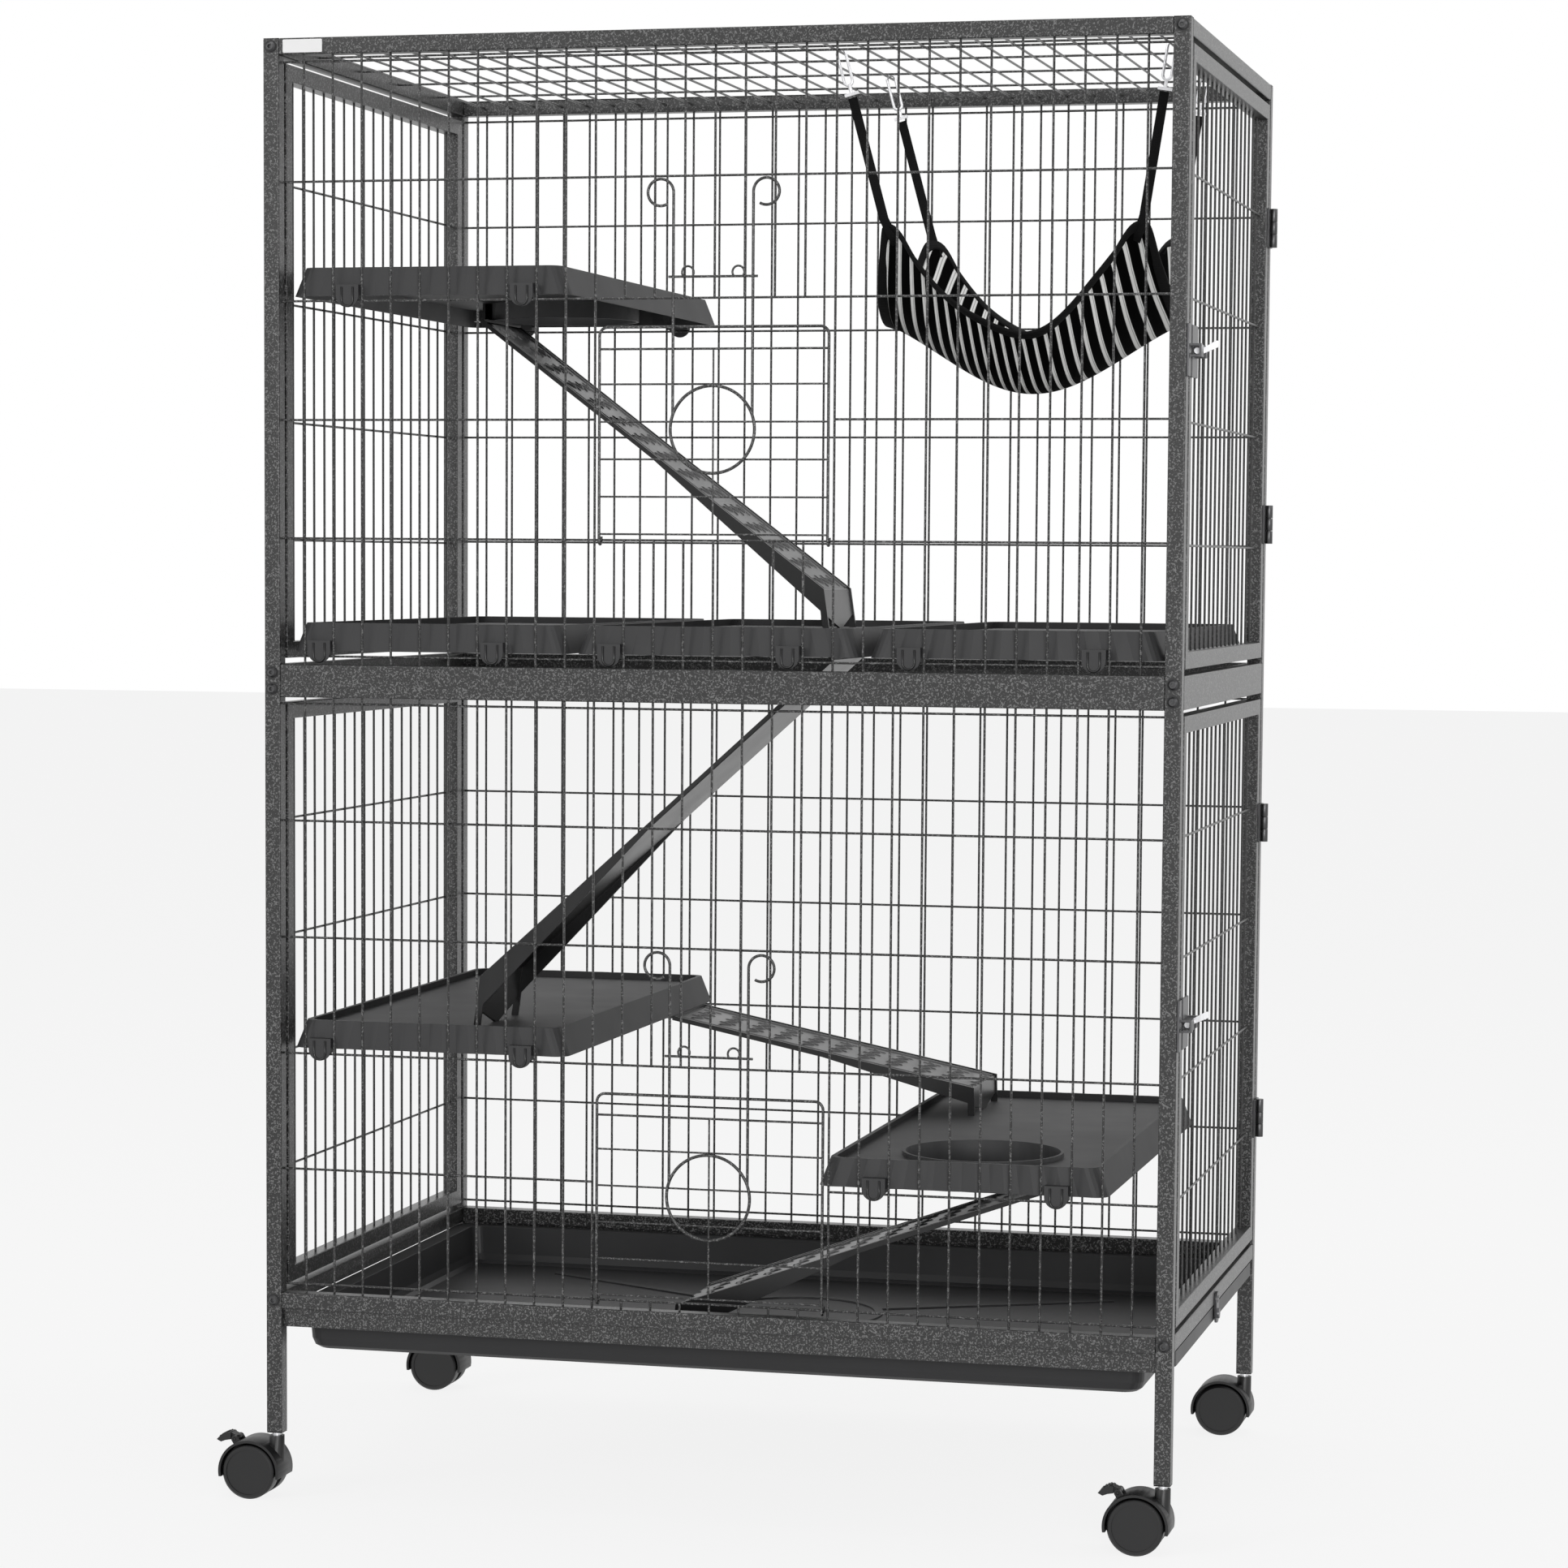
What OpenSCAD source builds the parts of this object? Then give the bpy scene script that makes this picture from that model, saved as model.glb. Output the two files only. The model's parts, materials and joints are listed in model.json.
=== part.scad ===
// Two-storey ferret cage on casters: tube frame, wire mesh, shelves, ramps, hammock and slide-out bin.
// Millimetres, +Z up, the floor at z = 0, the front towards -Y.

/* [Frame] */
// Width across the corner posts
body_w = 787; // [700:1:900]
// Depth across the corner posts
body_d = 508; // [460:1:560]
// Height of the frame above the floor
body_h = 1247; // [1240:1:1400]
// Side of every square tube
tube = 14; // [13:0.5:16]
// Wall of every square tube
tube_wall = 1.2; // [1:0.1:2]
// Height of the top of the base rails above the floor
base_top = 180; // [174:1:190]
// Height of the lower ends of the posts
post_bottom = 57; // [57:0.5:70]
// Diameter of the round-headed frame bolts
bolt_d = 8.5; // [8:0.5:12]

/* [Mesh] */
// Spacing of the close wires
wire_pitch = 25.64; // [24:0.01:28]
// Spacing of the wide wires
row_pitch = 100; // [95:0.5:102]
// Height of the lowest wide wire above the rail under it
first_row = 7; // [6:0.5:9]
// Diameter of the mesh wires
wire_d = 1.9; // [1.6:0.1:3]
// Spacing of the cross wires of the roof
roof_pitch = 104; // [80:1:115]

/* [Feeder doors] */
// Close wires from the middle to each side of a feeder opening
feeder_cells = 4; // [4:1:4]
// Wide rows that a feeder opening is high
feeder_rows = 2; // [2:1:2]
// Mesh row under the upper feeder opening
feeder_row_up = 1; // [1:1:2]
// Mesh row under the lower feeder opening
feeder_row_low = 0; // [0:1:2]
// Diameter of the stout door and latch wires
stout_d = 2.4; // [2.2:0.1:3]
// Radius of the finger ring of a feeder latch
ring_r = 36; // [30:0.5:38]

/* [Side doors] */
// Gap between a side panel and the frame round it
door_gap = 5; // [4:0.5:6]
// Diameter of a hinge pin
pin_d = 3.6; // [3:0.1:4]
// Height of a hinge
hinge_h = 35; // [30:1:45]
// Height of a latch plate
latch_h = 42; // [36:1:50]
// Diameter of a latch bolt
latch_d = 5; // [4:0.5:6]

/* [Shelves] */
// Gap between neighbouring shelves of one level
shelf_gap = 7; // [5:0.5:10]
// Height of a shelf
shelf_h = 24; // [20:0.5:30]
// Amount by which a shelf narrows on each side towards its top
shelf_taper = 9; // [5:0.5:12]
// Diameter of the climbing hole in a shelf
hole_d = 132; // [110:1:140]
// Wall of the moulded pieces
wall = 2.5; // [2:0.1:3]

/* [Ramps] */
// Width of a ramp
ramp_w = 110; // [90:1:115]
// Depth of the tread of a ramp between its edges
tread_dip = 1.5; // [1:0.1:3]

/* [Hammock] */
// Drop of the middle of the cloth below its corners
cloth_sag = 140; // [110:1:150]
// Thickness of the cloth
cloth_t = 2; // [1.5:0.1:3]
// Width of the straps
strap_w = 8; // [6:0.5:10]

/* [Bin] */
// Depth of the bin from its rim to its underside
bin_h = 39; // [30:0.5:45]
// Wall of the bin
bin_wall = 3; // [2.5:0.1:4]

/* [Casters] */
// Diameter of the wheels
wheel_d = 47; // [44:0.5:48]
// Width of a pair of wheels
twin_w = 38; // [34:0.5:44]
// Distance of the wheel centre behind the stem
trail = 20; // [18:0.5:21]
// Diameter of the caster stems
stem_d = 8; // [6:0.5:9]

/* [Hidden] */

// shift that centres the cage with its trailing casters on the frame's origin
cage_x = 20;
// facets that mark a true circle
round_fn = 48;
// overlap that fuses welded wires, and running clearance of a pin in its bore
weld = 0.1;
fit = 0.3;
eps = 0.01;

// half sizes of the frame outside the posts, and at their inner faces
hx = body_w / 2;
hy = body_d / 2;
ix = hx - tube;
iy = hy - tube;
// levels of the rails
storey_h = (body_h - base_top - 3 * tube) / 2;
mid_low = base_top + storey_h;
mid_top = mid_low + 2 * tube;
top_low = body_h - tube;
// wires each side of the middle one, and last wide row of a storey
side_wires = floor((ix - wire_d) / wire_pitch);
last_row = floor((storey_h - first_row - wire_d) / row_pitch);
// middle of the mesh inside the rails, and steps of the two wire layers from it
wall_y = hy - tube / 2;
layer = (wire_d - weld) / 2;
row_y = wall_y - layer;
feeder_x = feeder_cells * wire_pitch;

// ---------- general forms ----------

module place() {
  translate([cage_x, 0, 0]) children();
}

module both_x() {
  children();
  mirror([1, 0, 0]) children();
}

module both_y() {
  children();
  mirror([0, 1, 0]) children();
}

module rod_x(x0, x1, y, z, d) {
  translate([x0, y, z]) rotate([0, 90, 0]) cylinder(h = x1 - x0, d = d, $fn = round_fn);
}

module rod_y(y0, y1, x, z, d) {
  translate([x, y0, z]) rotate([-90, 0, 0]) cylinder(h = y1 - y0, d = d, $fn = round_fn);
}

module rod_z(z0, z1, x, y, d) {
  translate([x, y, z0]) cylinder(h = z1 - z0, d = d, $fn = round_fn);
}

module four_corners() {
  both_x() both_y() children();
}

// box between two corners
module block(lo, hi) {
  translate(lo) cube(hi - lo);
}

module tube_section() {
  difference() {
    square(tube, center = true);
    square(tube - 2 * tube_wall, center = true);
  }
}

// square tubes along X, Y and Z, given by the middle of their first end
module tube_x(len, y, z) {
  translate([-len / 2, y, z]) rotate([0, 90, 0]) linear_extrude(len) tube_section();
}

module tube_y(len, x, z) {
  translate([x, len / 2, z]) rotate([90, 0, 0]) linear_extrude(len) tube_section();
}

// mesh wires of eight flats, so that crossing wires weld flat on flat
module mesh_wire(len) {
  rotate([0, 0, 22.5]) cylinder(h = len, d = wire_d / cos(22.5), $fn = 8);
}

module mesh_x(x0, x1, y, z) {
  translate([x0, y, z]) rotate([0, 90, 0]) mesh_wire(x1 - x0);
}

module mesh_y(y0, y1, x, z) {
  translate([x, y0, z]) rotate([-90, 0, 0]) mesh_wire(y1 - y0);
}

module mesh_z(z0, z1, x, y) {
  translate([x, y, z0]) mesh_wire(z1 - z0);
}

// arc of wire in the XZ plane about the origin, from angle a0 over the turn
module arc_xz(r, d, a0, turn) {
  rotate([90, 0, 0]) rotate([0, 0, a0]) rotate_extrude(angle = turn, $fn = round_fn)
    translate([r, 0]) circle(d = d, $fn = round_fn);
}

// arc of wire in the YZ plane about the origin
module arc_yz(r, d, a0, turn) {
  rotate([90, 0, 90]) rotate([0, 0, a0]) rotate_extrude(angle = turn, $fn = round_fn)
    translate([r, 0]) circle(d = d, $fn = round_fn);
}

module rounded_rect(w, d, r) {
  translate([r - w / 2, r - d / 2]) corner_points(w - 2 * r, d - 2 * r, r);
}

// rectangle with quarter-circle corners, as one polygon
module corner_points(w, d, r) {
  corners = [[w, d, 0], [0, d, 90], [0, 0, 180], [w, 0, 270]];
  polygon([for (c = corners) for (a = [0:15:90]) [c[0] + r * cos(c[2] + a), c[1] + r * sin(c[2] + a)]]);
}

// ---------- frame ----------

module corner_posts() color("dimgray") place() {
  four_corners() translate([hx - tube / 2, hy - tube / 2, post_bottom])
    linear_extrude(body_h - post_bottom) tube_section();
}

// rails round the cage between the posts, with their underside at z
module rail_ring(z) {
  both_y() tube_x(2 * ix, hy - tube / 2, z + tube / 2);
  both_x() tube_y(2 * iy, hx - tube / 2, z + tube / 2);
}

module top_rails() color("dimgray") place() rail_ring(top_low);

module middle_rails() color("dimgray") place() {
  rail_ring(mid_low);
  rail_ring(mid_low + tube);
}

module base_rails() color("dimgray") place() rail_ring(base_top - tube);

guide_drop = 16.4;
guide_t = 2.4;
guide_reach = 14;
guide_low = base_top - tube - guide_drop;

// L-shaped runners hanging under the front and back base rails
module tray_guides() color("dimgray") place() {
  both_y() {
    block([-ix, hy - tube / 2 - guide_t / 2, guide_low], [ix, hy - tube / 2 + guide_t / 2, base_top - tube]);
    block([-ix, hy - tube / 2 - guide_reach, guide_low], [ix, hy - tube / 2, guide_low + guide_t]);
  }
}

bolt_h = 3;
bolt_edge = 1;
socket_d = 4;
socket_depth = 2;
bolt_round = 3;

module bolt_head() {
  difference() {
    union() {
      cylinder(h = bolt_edge, d = bolt_d, $fn = round_fn);
      translate([0, 0, bolt_edge])
        cylinder(h = bolt_h - bolt_edge, d1 = bolt_d, d2 = bolt_d - bolt_round, $fn = round_fn);
    }
    translate([0, 0, bolt_h - socket_depth]) cylinder(h = socket_depth + eps, d = socket_d, $fn = 6);
  }
}

module frame_bolts() color("silver") place() {
  for (z = [body_h - tube / 2, mid_low + 1.5 * tube, mid_low + tube / 2, base_top - tube / 2])
    both_x() both_y() translate([hx - tube / 2, hy, z]) rotate([-90, 0, 0]) bolt_head();
}

label_w = 35;
label_h = 11;
label_t = 0.8;
// distance of the plate's middle from the outer face of the post
label_in = 35.5;

module label_plate() color("white") place() {
  translate([label_in - hx, -hy, body_h - tube / 2]) rotate([90, 0, 0])
    linear_extrude(label_t) rounded_rect(label_w, label_h, 1);
}

plug_h = 12;

module post_plugs() color("black") place() {
  bore = tube - 2 * tube_wall;
  four_corners() translate([hx - tube / 2, hy - tube / 2, body_h - plug_h])
    linear_extrude(plug_h) square(bore, center = true);
}

socket_h = 28;
hood_top = post_bottom - 3;
neck_depth = 16;

// plugs in the lower ends of the posts, each with the stem its caster turns on
module caster_stems() color("silver") place() {
  bore = tube - 2 * tube_wall;
  four_corners() translate([hx - tube / 2, hy - tube / 2, 0]) {
    translate([0, 0, post_bottom]) linear_extrude(socket_h) square(bore, center = true);
    rod_z(hood_top - neck_depth + fit, post_bottom, 0, 0, stem_d);
  }
}

// ---------- mesh ----------

function row_z(floor_z, r) = floor_z + first_row + r * row_pitch;

// welded mesh on the +Y side between z0 and z1; a feeder opening stands on row_open if that is not negative
module wall_mesh(z0, z1, row_open) {
  open = row_open >= 0;
  for (k = [-side_wires:side_wires]) {
    cut = open && abs(k) < feeder_cells;
    x = k * wire_pitch;
    mesh_z(z0, cut ? row_z(z0, row_open) : z1, x, wall_y + layer);
    if (cut) mesh_z(row_z(z0, row_open + feeder_rows), z1, x, wall_y + layer);
  }
  for (r = [0:last_row]) {
    cut = open && r > row_open && r < row_open + feeder_rows;
    z = row_z(z0, r);
    if (cut) both_x() mesh_x(feeder_x, ix, row_y, z);
    if (!cut) mesh_x(-ix, ix, row_y, z);
  }
}

module front_upper_mesh() color("dimgray") place()
  mirror([0, 1, 0]) wall_mesh(mid_top, top_low, feeder_row_up);

module front_lower_mesh() color("dimgray") place()
  mirror([0, 1, 0]) wall_mesh(base_top, mid_low, feeder_row_low);

module back_upper_mesh() color("dimgray") place() wall_mesh(mid_top, top_low, -1);
module back_lower_mesh() color("dimgray") place() wall_mesh(base_top, mid_low, -1);

roof_z = body_h - tube / 2;
roof_rows = 4;

module roof_mesh() color("dimgray") place() {
  for (k = [-side_wires:side_wires]) mesh_y(-iy, iy, k * wire_pitch, roof_z);
  for (r = [0:roof_rows - 1]) mesh_x(-ix, ix, (r - (roof_rows - 1) / 2) * roof_pitch, roof_z + 2 * layer);
}

// ---------- barred side panels ----------

panel_y = iy - door_gap;
bar_count = floor((panel_y - tube - wire_d) / wire_pitch);
bar_rows = 4;

// ring of square tube in the YZ plane between two heights, on the +X side
module panel_frame(z0, z1) {
  difference() {
    block([ix, -panel_y, z0], [hx, panel_y, z1]);
    block([ix - 1, tube - panel_y, z0 + tube], [hx + 1, panel_y - tube, z1 - tube]);
  }
}

module panel_bars(z0, z1) {
  x = hx - tube / 2;
  for (k = [-bar_count:bar_count]) mesh_z(z0 + tube, z1 - tube, x - layer, k * wire_pitch);
  for (r = [1:bar_rows])
    mesh_y(tube - panel_y, panel_y - tube, x + layer, z0 + r * (z1 - z0) / (bar_rows + 1));
}

low_z0 = base_top + door_gap;
low_z1 = mid_low - door_gap;
up_z0 = mid_top + door_gap;
up_z1 = top_low - door_gap;

module left_panel_frames() color("dimgray") place() mirror([1, 0, 0]) {
  panel_frame(low_z0, low_z1);
  panel_frame(up_z0, up_z1);
}

module left_panel_bars() color("dimgray") place() mirror([1, 0, 0]) {
  panel_bars(low_z0, low_z1);
  panel_bars(up_z0, up_z1);
}

spacer_d = 9;
spacer_in = 80;

// spacers on the screws that hold the fixed panels between the left posts
module left_panel_spacers() color("silver") place() mirror([1, 0, 0]) {
  for (z = [low_z0 + spacer_in, low_z1 - spacer_in, up_z0 + spacer_in, up_z1 - spacer_in])
    both_y() rod_y(panel_y, iy, hx - tube / 2, z, spacer_d);
}

module upper_door_frame() color("dimgray") place() panel_frame(up_z0, up_z1);
module lower_door_frame() color("dimgray") place() panel_frame(low_z0, low_z1);
module upper_door_bars() color("dimgray") place() panel_bars(up_z0, up_z1);
module lower_door_bars() color("dimgray") place() panel_bars(low_z0, low_z1);

// ---------- hinges of the side doors ----------

leaf_t = 2;
leaf_w = 12;
knuckle_d = 7;
// clear of the frame by this much, the pin's axis stands off the leaves
pin_off = 0.7;
axis_x = hx + leaf_t + pin_d / 2 + pin_off;
axis_y = iy - door_gap / 2;
// distance of the hinges from the upper and lower end of their door
up_hinge_in = [111, 122];
low_hinge_in = [114, 114];
up_hinges = [up_z1 - up_hinge_in[0], up_z0 + up_hinge_in[1]];
low_hinges = [low_z1 - low_hinge_in[0], low_z0 + low_hinge_in[1]];

// leaf on the post with the upper and lower knuckle and the pin
module post_leaf(z) {
  third = hinge_h / 3;
  for (z0 = [z - hinge_h / 2, z + third / 2]) {
    block([hx, axis_y, z0], [hx + leaf_t, axis_y + leaf_w, z0 + third]);
    rod_z(z0, z0 + third, axis_x, axis_y, knuckle_d);
  }
  block([hx, axis_y + knuckle_d / 2 + 1, z - hinge_h / 2], [hx + leaf_t, axis_y + leaf_w, z + hinge_h / 2]);
  rod_z(z - hinge_h / 2, z + hinge_h / 2, axis_x, axis_y, pin_d);
}

// leaf on the door with the middle knuckle
module door_leaf(z) {
  sixth = hinge_h / 6;
  difference() {
    union() {
      block([hx, axis_y - leaf_w, z - hinge_h / 2],
        [hx + leaf_t, axis_y - knuckle_d / 2 - 1, z + hinge_h / 2]);
      block([hx, axis_y - leaf_w, z - sixth + fit], [hx + leaf_t, axis_y, z + sixth - fit]);
      rod_z(z - sixth + fit, z + sixth - fit, axis_x, axis_y, knuckle_d);
    }
    rod_z(z - hinge_h, z + hinge_h, axis_x, axis_y, pin_d + 2 * fit);
  }
}

module hinge_post_leaves() color("gray") place() {
  for (z = concat(up_hinges, low_hinges)) post_leaf(z);
}

module upper_door_hinge_leaves() color("gray") place() {
  for (z = up_hinges) door_leaf(z);
}

module lower_door_hinge_leaves() color("gray") place() {
  for (z = low_hinges) door_leaf(z);
}

// ---------- latches of the side doors ----------

// height of each latch above the lower end of its door
latch_up_in = 257;
latch_low_in = 251;
latch_up = up_z0 + latch_up_in;
latch_low = low_z0 + latch_low_in;
latch_wall = 1.5;
latch_x = hx + leaf_t + latch_d / 2 + latch_wall;
block_out = latch_x + latch_d / 2 + latch_wall;
keeper_y = iy + 1;
keeper_t = 7;
// play of the bolt in its keeper, and the keeper's jaws round it
keeper_play = 0.8;
jaw_t = 2;
// distance of the bolt's two guides from the door's edge
guide_in = [7, 26];
guide_y = [panel_y - guide_in[0], panel_y - guide_in[1]];
guide_w = 5;
// tip of the drawn bolt, and how far it slides
bolt_back = panel_y + 1;
bolt_travel = 8;
// finger lever of a bolt: how far it stands out, and its thickness, height and rise
knob_reach = 10;
knob_t = 3;
knob_h = 5;
knob_rise = 4;
// the lever of the drawn bolt stands just before the rear guide
knob_y = guide_y[1] + guide_w / 2 + fit + knob_t / 2;

// plate on the front right post with the square staple that the bolt goes into
module keeper(z) {
  slot = latch_d / 2 + keeper_play;
  jaw = slot + jaw_t;
  block([hx, -hy + 1, z - latch_h / 2], [hx + leaf_t, -iy - 0.5, z + latch_h / 2]);
  difference() {
    block([hx, -keeper_y - keeper_t, z - jaw], [latch_x + jaw, -keeper_y, z + jaw]);
    block([hx + leaf_t, -keeper_y - keeper_t - 1, z - slot], [latch_x + slot, 1 - keeper_y, z + slot]);
  }
}

// plate on the door with two bored blocks that guide the bolt
module latch_plate(z) {
  difference() {
    union() {
      block([hx, -panel_y + 1, z - latch_h / 2], [hx + leaf_t, guide_w - guide_y[1], z + latch_h / 2]);
      for (y = guide_y) block([hx, -y - guide_w / 2, z - latch_d], [block_out, guide_w / 2 - y, z + latch_d]);
    }
    rod_y(-iy, 2 * guide_w - guide_y[1], latch_x, z, latch_d + 2 * fit);
  }
}

// round bolt, drawn back out of its keeper, with a finger lever between the guides
module latch_bolt(z) {
  rod_y(-bolt_back, guide_w - guide_y[1] + bolt_travel, latch_x, z, latch_d);
  hull() {
    translate([latch_x, -knob_y, z]) cube([1, knob_t, latch_d - 1], center = true);
    translate([block_out + knob_reach - 1, -knob_y, z + knob_rise + knob_h / 2])
      cube([2, knob_t - 1, knob_h], center = true);
  }
}

module latch_keepers() color("gainsboro") place() {
  keeper(latch_up);
  keeper(latch_low);
}

module upper_latch_plate() color("gainsboro") place() latch_plate(latch_up);
module lower_latch_plate() color("gainsboro") place() latch_plate(latch_low);
module upper_latch_bolt() color("silver") place() latch_bolt(latch_up);
module lower_latch_bolt() color("silver") place() latch_bolt(latch_low);

// ---------- feeder doors ----------

// half width of a door to its side wires, and its plane in front of the mesh
fd_side = 4.6;
fd_x = feeder_x - fd_side;
fd_y = wall_y + layer + wire_d / 2 + fit + stout_d / 2;
fd_top = 176;
fd_second = 18;
fd_step = 31;
fd_lines = 5;
fd_first = 5;
fd_line_d = 1.6;
fd_corner = 7;
eye_end = 3;
// level behind the mesh wire where an eye comes up again
eye_back_y = wire_d / 2 + fit + stout_d / 2 - row_y;

// door of stout edge wires and fine cross wires, its eyes round the mesh wire at height z
module feeder_door(z) {
  // the side wires stand off to the front and lead down to the eyes
  both_x() {
    rod_z(z, z + fd_top - fd_corner, fd_x, -fd_y, stout_d);
    translate([fd_x - fd_corner, -fd_y, z + fd_top - fd_corner]) arc_xz(fd_corner, stout_d, 0, 90);
    translate([fd_x, (eye_back_y - fd_y) / 2, z]) arc_yz((fd_y + eye_back_y) / 2, stout_d, 180, 180);
    rod_z(z, z + eye_end, fd_x, eye_back_y, stout_d);
  }
  rod_x(fd_corner - fd_x, fd_x - fd_corner, -fd_y, z + fd_top, stout_d);
  rod_x(-fd_x, fd_x, -fd_y, z + fd_top - fd_second, wire_d);
  for (i = [0:fd_lines - 1]) rod_x(-fd_x, fd_x, -fd_y, z + fd_first + i * fd_step, fd_line_d);
  rod_z(z + fd_first, z + fd_top - fd_second, 0, -fd_y, fd_line_d);
}

feeder_up = row_z(mid_top, feeder_row_up);
feeder_low = row_z(base_top, feeder_row_low);

module upper_feeder_door() color("dimgray") place() feeder_door(feeder_up);
module lower_feeder_door() color("dimgray") place() feeder_door(feeder_low);

fl_y = fd_y + stout_d + fit;
fl_ring = 91.5;
fl_cross_up = 217;
fl_cross_low = 210;
fl_leg_top = 286;
// the legs run into the ring just inside its widest part
ring_d = stout_d + 0.2;
leg_x = ring_r - 2;
leg_low = sqrt(pow(ring_r, 2) - pow(leg_x, 2));
// curls at the ends of the legs
curl_r = 11;
curl_turn = 300;
cross_end = 4;
// loops that stand on the cross bar, their middle above it
loop_r = 5;
loop_x = 21.5;
loop_up = 3.5;
loop_d = 1.8;
cross_d = 2.1;
loop_a = asin(loop_up / loop_r);

// latch of bent wire in front of a door: ring, two legs that end in curls, and a cross bar with two loops
module feeder_latch(z, fl_cross) {
  translate([0, -fl_y, z + fl_ring]) arc_xz(ring_r, ring_d, 0, 360);
  both_x() {
    rod_z(z + fl_ring + leg_low, z + fl_leg_top, leg_x, -fl_y, stout_d);
    translate([leg_x + curl_r, -fl_y, z + fl_leg_top])
      arc_xz(curl_r, stout_d, 180 - curl_turn, curl_turn);
    translate([loop_x, -fl_y, z + fl_cross + loop_up]) arc_xz(loop_r, loop_d, -loop_a, 180 + 2 * loop_a);
  }
  rod_x(-leg_x - cross_end, leg_x + cross_end, -fl_y, z + fl_cross, cross_d);
}

module upper_feeder_latch() color("dimgray") place() feeder_latch(feeder_up, fl_cross_up);
module lower_feeder_latch() color("dimgray") place() feeder_latch(feeder_low, fl_cross_low);

// ---------- shelves ----------

// clearance of the outer shelves from the side walls, and of the front and back edges from the wide wires
shelf_side = 5;
front_gap = 1.55;
back_gap = 3.55;
shelf_w = (2 * ix - 2 * shelf_side - 2 * shelf_gap) / 3;
shelf_front = row_y - wire_d / 2 - front_gap;
shelf_back = row_y - wire_d / 2 - back_gap;
shelf_rise = 4.5;
shelf_floor = 18;
shelf_r = 12;
front_taper = 3;
flute_pitch = 24.5;
flute_depth = 1.4;
rim_w = 4;
tab_w = 20;
tab_up = 9;
tab_down = 10;
tab_t = 1.8;
tab_root = 4;

// outline of a shelf with fluted front and back edges
module shelf_outline(w, d, depth) {
  half = w / 2 - shelf_r;
  count = round(2 * half / flute_pitch);
  steps = 4 * count;
  edge = [for (i = [1:steps - 1])
    [half - 2 * half * i / steps, d / 2 - depth * (1 - cos(360 * count * i / steps)) / 2]];
  corner = [for (a = [0:18:90]) [half + shelf_r * cos(a), d / 2 - shelf_r + shelf_r * sin(a)]];
  back = concat(corner, edge, [for (i = [5:-1:0]) [-corner[i][0], corner[i][1]]]);
  polygon(concat(back, [for (p = back) -p]));
}

// tapered plug in a shelf's shape from height z0 to z1, shrunk by inset
module shelf_plug(z0, z1, inset, depth) {
  d = shelf_front + shelf_back - 2 * inset;
  w = shelf_w - 2 * inset;
  w0 = w - 2 * shelf_taper * z0 / shelf_h;
  w1 = w - 2 * shelf_taper * z1 / shelf_h;
  d0 = d - 2 * front_taper * z0 / shelf_h;
  d1 = d - 2 * front_taper * z1 / shelf_h;
  translate([0, (shelf_back - shelf_front) / 2, z0])
    linear_extrude(z1 - z0, scale = [w1 / w0, d1 / d0], slices = 1) shelf_outline(w0, d0, depth);
}

// tongue that hooks over the mesh wire in front of the shelf and hangs outside it
module shelf_tab(y_skirt) {
  out = row_y + wire_d / 2 + fit;
  translate([0, out + tab_t, 0]) rotate([90, 0, 0]) linear_extrude(tab_t) {
    translate([-tab_w / 2, -tab_down + tab_w / 2]) square([tab_w, tab_up + tab_down - tab_w / 2]);
    translate([0, -tab_down + tab_w / 2]) intersection() {
      circle(d = tab_w, $fn = round_fn);
      translate([-tab_w / 2, -tab_w / 2]) square([tab_w, tab_w / 2 + eps]);
    }
  }
  block([-tab_w / 2, y_skirt - tab_root, wire_d / 2 + fit - shelf_rise],
    [tab_w / 2, out + tab_t / 2, tab_up]);
}

// middle of the gap between close wires that x lies in
function gap_at(x) = (floor(x / wire_pitch) + 0.5) * wire_pitch;

// shelf with its middle at x and its lower edge at z; a hole at hole_y where that is not zero; its tongues
// stand near the given parts of its width from the middle
module shelf(x, z, hole_y, tab_parts) {
  translate([x, 0, z]) difference() {
    union() {
      difference() {
        shelf_plug(0, shelf_h, 0, flute_depth);
        shelf_plug(-eps, shelf_floor - wall, wall, flute_depth);
        shelf_plug(shelf_floor, shelf_h + eps, rim_w, 0);
      }
      if (hole_y != 0) rod_z(0, shelf_h - 2, 0, hole_y, hole_d + 2 * wall);
      for (t = tab_parts) translate([gap_at(x + t * shelf_w) - x, 0, 0]) {
        shelf_tab(shelf_back);
        mirror([0, 1, 0]) shelf_tab(shelf_front);
      }
    }
    if (hole_y != 0) rod_z(-1, shelf_h + 1, 0, hole_y, hole_d);
  }
}

// distance of the climbing holes from the rails in front of or behind them
hole_in = 90;
hole_y = iy - hole_in;
row_ul = 3;
row_ll = 2;
row_lr = 1;
// middles of the shelves; the lower right one stands off the right wall
shelf_shift = 2;
low_right_in = 43;
shelf_mid = shelf_shift;
shelf_left = shelf_mid - shelf_w - shelf_gap;
shelf_right = shelf_mid + shelf_w + shelf_gap;
shelf_low_right = ix - shelf_w / 2 - low_right_in;
// places of the tongues, as parts of a shelf's width from its middle
tabs_ul = [-0.286, 0.34];
tabs_ml = [-0.392, 0.236];
tabs_mid = [-0.376, 0.253];
tabs_mr = [-0.355, 0.27];
tabs_ll = [-0.392, 0.34];
tabs_lr = [-0.298, 0.33];
z_ul = row_z(mid_top, row_ul) + shelf_rise;
z_mid = row_z(mid_top, 0) + shelf_rise;
z_ll = row_z(base_top, row_ll) + shelf_rise;
z_lr = row_z(base_top, row_lr) + shelf_rise;

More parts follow.
